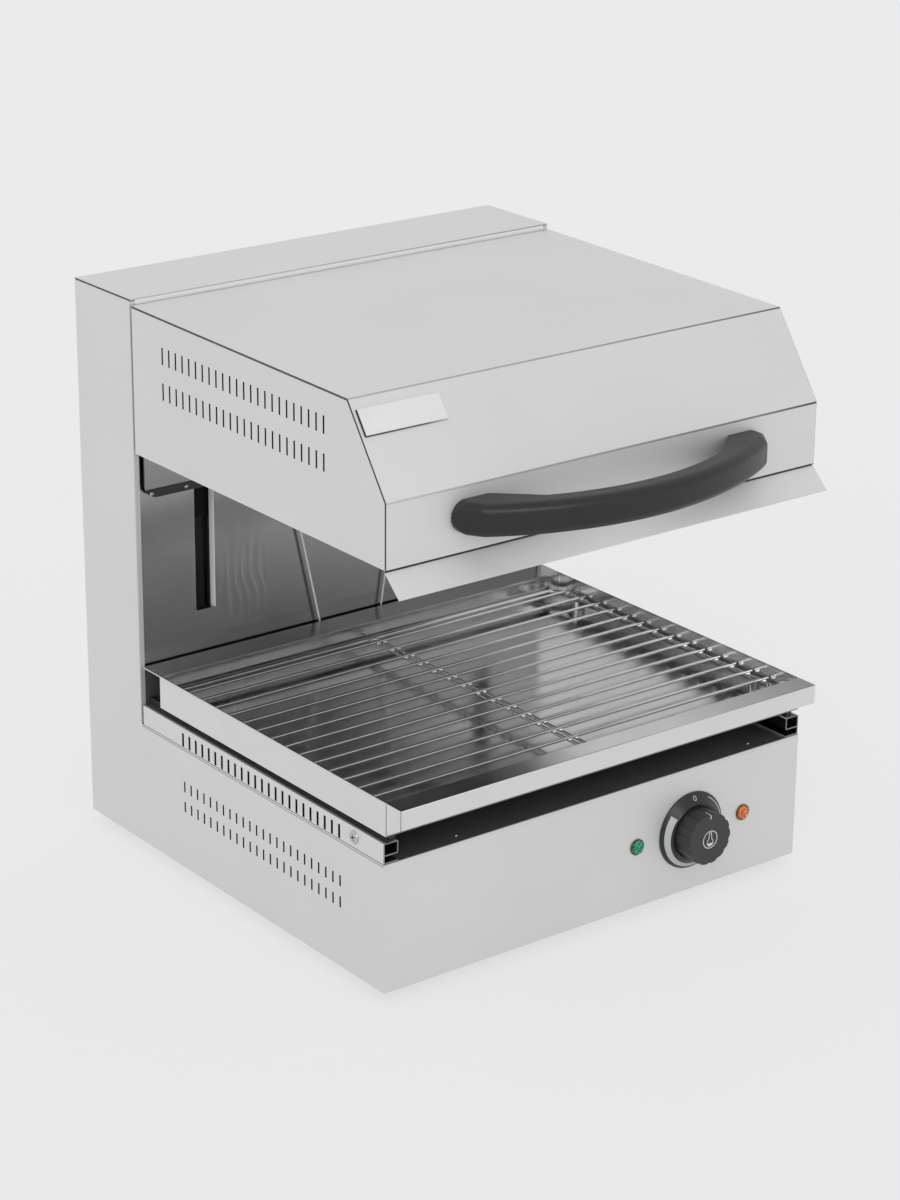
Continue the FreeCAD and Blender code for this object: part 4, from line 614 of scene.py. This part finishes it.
def fasteners():
    quarter = math.radians(90)
    # zinc-plated heads, bright, with grease and shadow in the cross
    finishes = (plainFinish("zincPlateHeads", "#d0d0ce", "#bababa", 0.28, 0.05, 0.8 * mm, metallic=1.0),
                plainFinish("zincPlateRecess", "#3c3c3a", "#2c2c2a", 0.5, 0.05, 0.8 * mm))
    facing = {"left": (0, -quarter, 0), "right": (0, quarter, 0), "back": (-quarter, 0, 0), "up": (0, 0, 0),
              "front": (quarter, 0, 0)}

    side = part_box("rail_left")[0].x
    rail = {"headRadius": 5.75 * mm, "headHeight": 1.6 * mm, "shankRadius": 2.5 * mm,
            "shankLength": 5.5 * mm, "depth": frontY + 41 * mm, "level": 134.35 * mm}
    screwSet("railScrewHeads", rail, [((side, rail["depth"], rail["level"]), facing["left"], 20),
                                      ((-side, rail["depth"], rail["level"]), facing["right"], 55)],
             "cabinet", "rail_screws", finishes)

    cover = {"headRadius": 4 * mm, "headHeight": 1.8 * mm, "shankRadius": 2 * mm, "shankLength": 5.5 * mm,
             "across": 218 * mm, "levels": (40 * mm, 255.1 * mm, 470.2 * mm)}
    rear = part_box("column_rear_cover")[1].y
    screwSet("coverScrewHeads", cover, [((x * cover["across"], rear, z), facing["back"], 31 * i + 40 * x)
                                        for x in (-1, 1) for i, z in enumerate(cover["levels"])],
             "cabinet", "panel_screws", finishes)

    deck = {"headRadius": 1.8 * mm, "headHeight": 1.2 * mm, "shankRadius": 1.0 * mm, "shankLength": 3 * mm,
            "depth": frontY + 12 * mm, "across": (-144 * mm, 176 * mm), "level": 124 * mm}
    screwSet("deckScrewHeads", deck, [((x, deck["depth"], deck["level"]), facing["up"], 25)
                                      for x in deck["across"]],
             "cabinet", "panel_screws", finishes)

    shield = {"headRadius": 1.8 * mm, "headHeight": 1.0 * mm, "shankRadius": 1.2 * mm,
              "shankLength": 2 * mm, "level": 336.75 * mm, "across": (-211.7, -176.7, 176.7, 211.7)}
    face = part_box("hood_rear_shield")[0].y
    screwSet("shieldScrewHeads", shield, [((x * mm, face, shield["level"]), facing["front"], 30)
                                          for x in shield["across"]],
             "hood", "shield_screws", finishes)


# the folded top edge of the front panel, which stands a little above the deck

def frontEdge():
    edge = {"depth": 1.2 * mm, "height": 1.9 * mm, "round": 0.45 * mm}
    low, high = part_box("front_panel")
    piece = startPiece("cube", size=1, location=(0, low.y + edge["depth"] / 2, high.z + edge["height"] / 2),
                       scale=(high.x - low.x, edge["depth"], edge["height"]))
    edit()
    pick("edges", lambda e: abs(e.verts[0].co.x - e.verts[1].co.x) > halfWidth
         and e.verts[0].co.z > high.z + edge["height"] / 2)
    bpy.ops.mesh.bevel(offset=edge["round"], segments=3, affect="EDGES")
    leaveEdit()
    # painted shade: the top of the fold is drawn grey
    top = {"across": acrossZ, "at": high.z + edge["height"], "width": 1.0 * mm, "tint": "#9c9c9c",
           "soft": 0.3 * mm}
    steel = satinStainless("satinStainlessEdge", along="x", marks=[top], **outer)
    hand(piece, "frontEdge", steel, "cabinet", "stainless_satin")


# badge

def badge():
    plate = {"width": 80 * mm, "height": 23 * mm, "thickness": 1.5 * mm, "left": -222 * mm,
             "belowBend": 10 * mm, "corner": 0.8 * mm, "slope": 0.45 * mm, "border": 1.6 * mm,
             "crown": 0.25 * mm}
    bend = Vector((0, frontY + hoodFold["bendDepth"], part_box("hood_shell")[1].z - hoodFold["bendDrop"]))
    slope = math.radians(hoodFold["slope"])
    down = Vector((0, -math.cos(slope), -math.sin(slope)))
    place = bend + down * (plate["belowBend"] + plate["height"] / 2)
    place.x = plate["left"] + plate["width"] / 2
    edgeHeight = plate["thickness"] - plate["crown"]
    piece = startPiece("cube", size=1, location=(0, 0, edgeHeight / 2),
                       scale=(plate["width"], plate["height"], edgeHeight))
    edit()
    pick("faces", lambda f: f.normal.z > 0.99)
    bpy.ops.mesh.inset(thickness=plate["border"], depth=plate["crown"])
    pick("edges", lambda e: abs(e.verts[0].co.z - e.verts[1].co.z) > edgeHeight / 2)
    bpy.ops.mesh.bevel(offset=plate["corner"], segments=3, affect="EDGES")
    pick("edges", lambda e: all(abs(v.co.z - edgeHeight) < 0.01 * mm for v in e.verts)
         and min(f.normal.z for f in e.link_faces) < 0.1)
    bpy.ops.mesh.bevel(offset=plate["slope"], segments=2, affect="EDGES")
    leaveEdit()
    settle(piece, place, (slope, 0, 0))
    upward = (0, math.cos(slope), math.sin(slope))
    lowEdge = (place - Vector(upward) * (plate["height"] / 2)).dot(Vector(upward))
    # anodised aluminium, bright and fine; its left and lower edges lie in their own shadow
    marks = [
        {"across": upward, "at": lowEdge + 0.1 * mm, "width": 1.5 * mm, "soft": 0.3 * mm,
         "tints": [(-halfWidth, "#3c3c3c"), (-165 * mm, "#5a5a5a"), (-145 * mm, "#c8c8c8"),
                   (-140 * mm, "#e0e0e0")]},
        {"across": acrossX, "at": plate["left"], "width": 1.6 * mm, "tint": "#303030", "soft": 0.3 * mm},
    ]
    silver = plainFinish("anodisedAluminium", "#f4f4f4", "#ececec", 0.3, 0.04, 0.6 * mm, metallic=1.0,
                         marks=marks)
    hand(piece, "badge", silver, "hood", "plate_silver", "badge_plate")


# controls

dial = {"x": 101.5 * mm, "z": 67 * mm, "radius": 35 * mm, "rim": 1.5 * mm, "topRadius": 26 * mm,
        "height": 8 * mm, "knobRadius": 23.5 * mm, "face": -26 * mm, "flute": 0.9 * mm}


def onCone(radius, angle, lift=0.04 * mm):
    # a point on the sloped rim of the dial, the angle counted clockwise from the top
    share = (dial["radius"] - radius) / (dial["radius"] - dial["topRadius"])
    depth = dial["rim"] + share * (dial["height"] - dial["rim"])
    return Vector((dial["x"] + radius * math.sin(angle), frontY - depth - lift,
                   dial["z"] + radius * math.cos(angle)))


def thicken(piece, amount):
    applyModifier(piece, "SOLIDIFY", thickness=amount, offset=1)


def dialPrint():
    # screen-printed ink, flat and matt
    ink = plainFinish("printedInk", "#cccccc", "#c0c0c0", 0.5, 0.05, 0.5 * mm)
    greyInk = plainFinish("printedInkGrey", "#b6b9bc", "#acafb2", 0.5, 0.05, 0.5 * mm)
    zero = {"radius": 30.8 * mm, "width": 3.5 * mm, "height": 4.8 * mm, "stroke": 0.6 * mm}
    piece = startPiece("circle", vertices=28, radius=1.0)
    edit()
    bpy.ops.mesh.select_all(action="SELECT")
    bpy.ops.transform.resize(value=(zero["width"] / 2, zero["height"] / 2, 1))
    bpy.ops.mesh.extrude_region_move()
    bpy.ops.transform.resize(value=(1 - 2 * zero["stroke"] / zero["width"],
                                    1 - 2 * zero["stroke"] / zero["height"], 1))
    leaveEdit()
    if piece.data.polygons[0].normal.z < 0:
        piece.data.flip_normals()
    thicken(piece, 0.08 * mm)
    slope = math.atan2(dial["radius"] - dial["topRadius"], dial["height"] - dial["rim"])
    settle(piece, onCone(zero["radius"], 0), (slope, 0, 0))
    hand(piece, "dialZero", ink, "cabinet", "black_plastic")

    # the band that widens clockwise with the heat
    band = {"start": 30, "end": 309, "outer": 32.4 * mm, "thin": 0.7 * mm, "wide": 5.2 * mm, "steps": 56}
    turn = math.radians(band["end"] - band["start"]) / band["steps"]
    centre = Vector((dial["x"], 0, dial["z"]))
    first = math.radians(band["start"])
    piece = startPiece("plane", size=1 * mm)
    edit()
    outerStart, innerStart = onCone(band["outer"], first), onCone(band["outer"] - band["thin"], first)
    pick("verts", lambda v: v.co.y > 0)
    bpy.ops.mesh.delete(type="VERT")
    mesh = bmesh.from_edit_mesh(piece.data)
    mesh.verts.ensure_lookup_table()
    mesh.verts[0].co, mesh.verts[1].co = outerStart, innerStart
    bmesh.update_edit_mesh(piece.data)
    bpy.ops.mesh.select_all(action="SELECT")
    width = band["thin"]
    for step in range(1, band["steps"] + 1):
        bpy.ops.mesh.extrude_region_move()
        bpy.ops.transform.rotate(value=-turn, orient_axis="Y", center_override=centre)
        wider = band["thin"] + (band["wide"] - band["thin"]) * step / band["steps"]
        bpy.ops.transform.resize(value=[wider / width] * 3,
                                 center_override=onCone(band["outer"], first + turn * step))
        width = wider
    bpy.ops.mesh.select_all(action="SELECT")
    bpy.ops.mesh.normals_make_consistent(inside=False)
    leaveEdit()
    if piece.data.polygons[0].normal.y > 0:
        piece.data.flip_normals()
    thicken(piece, 0.08 * mm)
    hand(piece, "dialBand", greyInk, "cabinet", "black_plastic")
    return ink


def knobPrint(ink):
    # a bar along the knob's side, over its rounded edge and a little way down its face
    pointer = {"length": 6 * mm, "thin": 0.9 * mm, "wide": 1.5 * mm, "down": 2.2 * mm, "lift": 0.05 * mm,
               "round": 1.2 * mm, "steps": 3}
    top = dial["z"] + dial["knobRadius"] - dial["flute"] + pointer["lift"]
    face = frontY + dial["face"] - pointer["lift"]
    centre = (dial["x"], face + pointer["round"] + pointer["length"] / 2, top)
    piece = startPiece("plane", size=1 * mm, location=centre)
    edit()
    bpy.ops.mesh.select_all(action="SELECT")
    bpy.ops.transform.resize(value=(pointer["thin"] / mm, pointer["length"] / mm, 1), center_override=centre)
    pick("edges", lambda e: all(v.co.y < face + pointer["round"] + 0.1 * mm for v in e.verts))
    turns = [math.radians(90 * step / pointer["steps"]) for step in range(pointer["steps"] + 1)]
    for a, b in zip(turns, turns[1:]):
        move = Vector((0, math.sin(a) - math.sin(b), math.cos(b) - math.cos(a))) * pointer["round"]
        bpy.ops.mesh.extrude_region_move(TRANSFORM_OT_translate={"value": move})
    bpy.ops.mesh.extrude_region_move(TRANSFORM_OT_translate={"value": (0, 0, -pointer["down"])})
    bpy.ops.transform.resize(value=(pointer["wide"] / pointer["thin"], 1, 1),
                             center_override=(dial["x"], face, top))
    bpy.ops.mesh.select_all(action="SELECT")
    bpy.ops.mesh.normals_make_consistent(inside=False)
    leaveEdit()
    if max(piece.data.polygons, key=lambda f: f.center.y).normal.z < 0:
        piece.data.flip_normals()
    thicken(piece, 0.08 * mm)
    hand(piece, "knobPointer", ink, "knob", "black_plastic")

    sign = {"ring": 8.2 * mm, "stroke": 0.8 * mm, "bulb": 3.7 * mm, "bulbDown": 2.6 * mm,
            "tube": 1.7 * mm, "tubeUp": 6.6 * mm}
    ring = startPiece("circle", vertices=48, radius=sign["ring"])
    edit()
    bpy.ops.mesh.select_all(action="SELECT")
    bpy.ops.mesh.extrude_region_move()
    bpy.ops.transform.resize(value=[1 - sign["stroke"] / sign["ring"]] * 3)
    bpy.ops.mesh.select_all(action="SELECT")
    bpy.ops.mesh.normals_make_consistent(inside=False)
    leaveEdit()
    # the thermometer: a bulb with its tube drawn up, outlined, and its lower half full
    bulb = startPiece("circle", vertices=32, radius=sign["bulb"], fill_type="NGON")
    edit()
    pick("verts", lambda v: v.co.y > 0 and abs(v.co.x) < sign["tube"])
    bpy.ops.transform.resize(value=(1, 0, 1), center_override=(0, sign["tubeUp"] + sign["bulbDown"], 0))
    bpy.ops.mesh.select_all(action="SELECT")
    bpy.ops.mesh.inset(thickness=sign["stroke"] * 0.85, depth=0)
    level = -0.2 * sign["bulb"]
    bpy.ops.mesh.bisect(plane_co=(0, level, 0), plane_no=(0, 1, 0))
    pick("faces", lambda f: len(f.verts) > 6 and middle(f).y > level and abs(middle(f).x) < 0.2 * mm)
    bpy.ops.mesh.delete(type="FACE")
    leaveEdit()
    settle(bulb, (0, -sign["bulbDown"], 0))
    whole = joinAll([ring, bulb], "knobSign")
    thicken(whole, 0.08 * mm)
    settle(whole, (dial["x"], frontY + dial["face"] - 0.03 * mm, dial["z"]), (math.radians(90), 0, 0))
    hand(whole, "knobSign", ink, "knob", "black_plastic")


def lampLens(name, x, material, slot, node):
    # a low dome pressed with a field of small pyramids, which break the light of the lamp behind it
    lens = {"radius": 6.3 * mm, "height": 2.0 * mm, "cells": 8, "pyramid": 0.5 * mm, "rise": 0.72,
            "sunk": 0.6 * mm}
    dome = startPiece("cylinder", vertices=40, radius=lens["radius"], depth=lens["height"],
                      location=(0, 0, lens["height"] / 2))
    edit()
    pick("edges", lambda e: all(v.co.z > lens["height"] * 0.9 for v in e.verts))
    bpy.ops.mesh.bevel(offset=lens["height"] * 0.55, segments=4, affect="EDGES")
    leaveEdit()
    field = startPiece("cube", size=2 * lens["radius"],
                       location=(0, 0, lens["height"] * lens["rise"] - lens["radius"]))
    edit()
    pick("faces", lambda f: f.normal.z > 0.9)
    bpy.ops.mesh.subdivide(number_cuts=lens["cells"] - 1)
    pick("faces", lambda f: f.normal.z > 0.9)
    cell = 2 * lens["radius"] / lens["cells"]
    bpy.ops.mesh.inset(thickness=cell * 0.4, depth=lens["pyramid"], use_individual=True)
    leaveEdit()
    settle(field, (0, 0, 0), (0, 0, math.radians(45)))
    cutWith(dome, field, "INTERSECT")
    settle(dome, (x, frontY - lens["sunk"], dial["z"]), (math.radians(90), 0, 0))
    hand(dome, name, material, "cabinet", slot, node)


def lensPlastic(name, dark, middleTone, light):
    # transparent tinted plastic with a glossy skin: lighter and darker glints of its small pyramids are
    # painted into its colour cell by cell, as painted highlights and shade
    material, tree, shader, place = newMaterial(name)
    cells = addNode(tree, "TexVoronoi", {"Vector": place, "Scale": 1 / (1.1 * mm)})
    split = addNode(tree, "SeparateColor", {"Color": cells.outputs["Color"]})
    stops = [(0.1, dark), (0.5, middleTone), (0.9, light)]
    tone = addNode(tree, "ValToRGB", {"Fac": split.outputs[0]}, stops)
    tree.links.new(tone.outputs[0], shader.inputs["Base Color"])
    rough = addNode(tree, "MapRange", {"Value": split.outputs[1], "To Min": 0.1, "To Max": 0.25})
    tree.links.new(rough.outputs[0], shader.inputs["Roughness"])
    shader.inputs["Specular IOR Level"].default_value = 0.25
    bump = addNode(tree, "Bump", {"Height": cells.outputs["Distance"], "Strength": 0.3, "Distance": 0.2 * mm})
    tree.links.new(bump.outputs[0], shader.inputs["Normal"])
    return material


def lamps():
    across = {"green": 41.2 * mm, "orange": 161.8 * mm}
    green = lensPlastic("greenLensPlastic", "#06402e", "#0f7a56", "#30bc8c")
    lampLens("lampLensGreen", across["green"], green, "lens_green", "pilot_lamp_green")
    orange = lensPlastic("orangeLensPlastic", "#8a4420", "#c8662e", "#ec9450")
    lampLens("lampLensOrange", across["orange"], orange, "lens_orange", "pilot_lamp_orange")


# rack

def rackWelds():
    # the small beads where the cross wires are welded to the side wires and to the middle hairpin
    bead = {"radius": 2.0 * mm, "firstWire": frontY + 38 * mm, "pitch": 21 * mm, "wires": 14,
            "across": (-217 * mm, -3.5 * mm, 3.5 * mm, 217 * mm), "level": 165.2 * mm, "inner": 0.85}
    master = startPiece("uv_sphere", segments=10, ring_count=6, radius=bead["radius"])
    edit()
    bpy.ops.mesh.select_all(action="SELECT")
    bpy.ops.transform.resize(value=(1.25, 0.95, 0.62))
    leaveEdit()
    beads = []
    for x in bead["across"]:
        size = bead["inner"] if abs(x) < 10 * mm else 1.0
        for i in range(bead["wires"]):
            one = copyOf(master, "bead")
            one.scale = (size, size, size)
            one.location = (x, bead["firstWire"] + i * bead["pitch"], bead["level"])
            beads.append(one)
    bpy.data.objects.remove(master)
    welds = joinAll(beads, "rackWelds")
    settle(welds, welds.location, welds.rotation_euler)
    # nickel-plated beads, which catch the light as bright points
    bright = plainFinish("nickelWeld", "#ffffff", "#e8e8e8", 0.3, 0.05, 1.0 * mm, metallic=1.0)
    hand(welds, "rackWelds", bright, "rack", "bright_wire")


# lifting ropes

def ropes():
    # six strands laid round each other
    rope = {"strands": 6, "waist": 0.8, "lay": 22 * mm, "stepsPerTurn": 12}
    # stranded steel rope, dull grey with grease between its wires
    steel = plainFinish("steelRope", "#8a8a8a", "#5c5c5c", 0.4, 0.08, 0.6 * mm, metallic=1.0, bump=0.5,
                        depth=0.2 * mm)
    paint(steel, "cable_wraps")
    for node, body in (("hood_cables", "hood"), ("weight_cables", "counterweight")):
        low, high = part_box(node)
        radius, length = (high.y - low.y) / 2, high.z - low.z
        turns = length / rope["lay"]
        steps = round(turns * rope["stepsPerTurn"])
        runs = []
        for x in (low.x + radius, high.x - radius):
            run = startPiece("circle", vertices=2 * rope["strands"], radius=radius)
            edit()
            pick("verts", lambda v: round(math.atan2(v.co.y, v.co.x) * rope["strands"] / math.pi) % 2 == 1)
            bpy.ops.transform.resize(value=(rope["waist"], rope["waist"], 1), center_override=(0, 0, 0))
            leaveEdit()
            applyModifier(run, "SCREW", axis="Z", angle=turns * 2 * math.pi, screw_offset=length,
                          steps=steps, render_steps=steps)
            edit()
            bpy.ops.mesh.select_mode(type="EDGE")
            bpy.ops.mesh.select_all(action="SELECT")
            bpy.ops.mesh.fill_holes(sides=0)
            bpy.ops.mesh.select_all(action="SELECT")
            bpy.ops.mesh.normals_make_consistent(inside=False)
            leaveEdit()
            settle(run, (x, low.y + radius, low.z))
            runs.append(run)
        name = body + "Rope"
        piece = hand(joinAll(runs, name), name, steel, None, "steel_cable", node)
        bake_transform(piece)


# studio

def studio():
    shown = {"backdrop": "#ebebeb", "floor": "#e8e8e8", "floorShare": 0.84}
    light = {"sky": 0.95, "sun": 0.5, "sunSpread": 26, "sunRuns": (0.62, 0.58, -0.52), "gloss": 6,
             "glossSize": (0.9, 0.7), "glossPlace": (-0.42, -1.98, 1.16), "glossAim": (0, 0, 0.25)}
    bpy.ops.object.select_all(action="DESELECT")
    bpy.ops.mesh.primitive_plane_add(size=30, location=(0, 0, -0.0005))
    floor = bpy.context.object
    floor.name = "studioFloor"
    material, tree, shader, place = newMaterial("paleFloor")
    mottle = addNode(tree, "TexNoise", {"Vector": place, "Scale": 3.0, "Detail": 2.0})
    tone = addNode(tree, "ValToRGB", {"Fac": mottle.outputs["Fac"]}, [(0.3, "#f4f4f4"), (0.7, "#f6f6f6")])
    tree.links.new(tone.outputs[0], shader.inputs["Base Color"])
    shader.inputs["Roughness"].default_value = 1.0
    shader.inputs["Specular IOR Level"].default_value = 0.0
    # the pale tone is mixed over the lit floor only partly, so that the object's shadow stays
    pale = addNode(tree, "Emission", {"Color": hexColour(shown["floor"]), "Strength": 1.0})
    share = addNode(tree, "Math", {0: seenRays(tree), 1: shown["floorShare"]}, operation="MULTIPLY")
    both = addNode(tree, "MixShader", {0: share.outputs[0], 1: shader.outputs[0], 2: pale.outputs[0]})
    tree.links.new(both.outputs[0], tree.nodes["Material Output"].inputs[0])
    floor.data.materials.append(material)

    world = bpy.data.worlds.new("studio")
    bpy.context.scene.world = world
    world.use_nodes = True
    tree = world.node_tree
    tree.nodes.clear()
    backdrop = addNode(tree, "Background", {"Color": hexColour(shown["backdrop"]), "Strength": 1.0})
    lighting = addNode(tree, "Background", {"Color": (1, 1, 1, 1), "Strength": light["sky"]})
    both = addNode(tree, "MixShader", {0: seenRays(tree), 1: lighting.outputs[0], 2: backdrop.outputs[0]})
    out = addNode(tree, "OutputWorld")
    tree.links.new(both.outputs[0], out.inputs[0])

    sun = bpy.data.lights.new("softKey", "SUN")
    sun.energy = light["sun"]
    sun.angle = math.radians(light["sunSpread"])
    key = bpy.data.objects.new("softKey", sun)
    bpy.context.scene.collection.objects.link(key)
    key.rotation_euler = Vector(light["sunRuns"]).to_track_quat("-Z", "Y").to_euler()

    # a softbox above the front that shows only as gloss on the black plastic and the lenses
    box = bpy.data.lights.new("glossBox", "AREA")
    box.shape = "RECTANGLE"
    box.size, box.size_y = light["glossSize"]
    box.energy = light["gloss"]
    gloss = bpy.data.objects.new("glossBox", box)
    bpy.context.scene.collection.objects.link(gloss)
    gloss.location = light["glossPlace"]
    gloss.rotation_euler = (Vector(light["glossAim"]) - gloss.location).to_track_quat("-Z", "Y").to_euler()
    gloss.visible_diffuse = False
    bpy.context.scene.view_settings.view_transform = "Standard"


def seenRays(tree):
    # rays that show the pale background: from the camera, in gloss and through glass
    rays = addNode(tree, "LightPath")
    seen = addNode(tree, "Math", {0: rays.outputs["Is Camera Ray"], 1: rays.outputs["Is Glossy Ray"]},
                   operation="MAXIMUM")
    return addNode(tree, "Math", {0: seen.outputs[0], 1: rays.outputs["Is Transmission Ray"]},
                   operation="MAXIMUM").outputs[0]


def camera():
    # the photograph's own view, found from the straight edges of the body
    view = {"place": (-1.5863, -2.0566, 1.2208), "turn": -37.499, "tilt": 20.688, "roll": 0.454,
            "lens": 95.66}
    turn, tilt, roll = (math.radians(view[key]) for key in ("turn", "tilt", "roll"))
    back = Vector((math.sin(turn) * math.cos(tilt), -math.cos(turn) * math.cos(tilt), math.sin(tilt)))
    right = Vector((math.cos(turn), math.sin(turn), 0))
    up = back.cross(right)
    side = right * math.cos(roll) + up * math.sin(roll)
    top = up * math.cos(roll) - right * math.sin(roll)
    data = bpy.data.cameras.new("photoCamera")
    data.lens = view["lens"]
    data.sensor_width = 36
    data.clip_start = 0.05
    data.clip_end = 60
    eye = bpy.data.objects.new("photoCamera", data)
    bpy.context.scene.collection.objects.link(eye)
    turned = Matrix((side, top, back)).transposed().to_4x4()
    eye.matrix_world = Matrix.Translation(Vector(view["place"])) @ turned
    bpy.context.scene.camera = eye


paintCabinet()
paintBackPanel()
paintHood()
paintTray()
paintFittings()
print("finishes set")
fasteners()
frontEdge()
badge()
ink = dialPrint()
knobPrint(ink)
lamps()
rackWelds()
ropes()
print("small pieces made")
studio()
camera()
print("studio set")
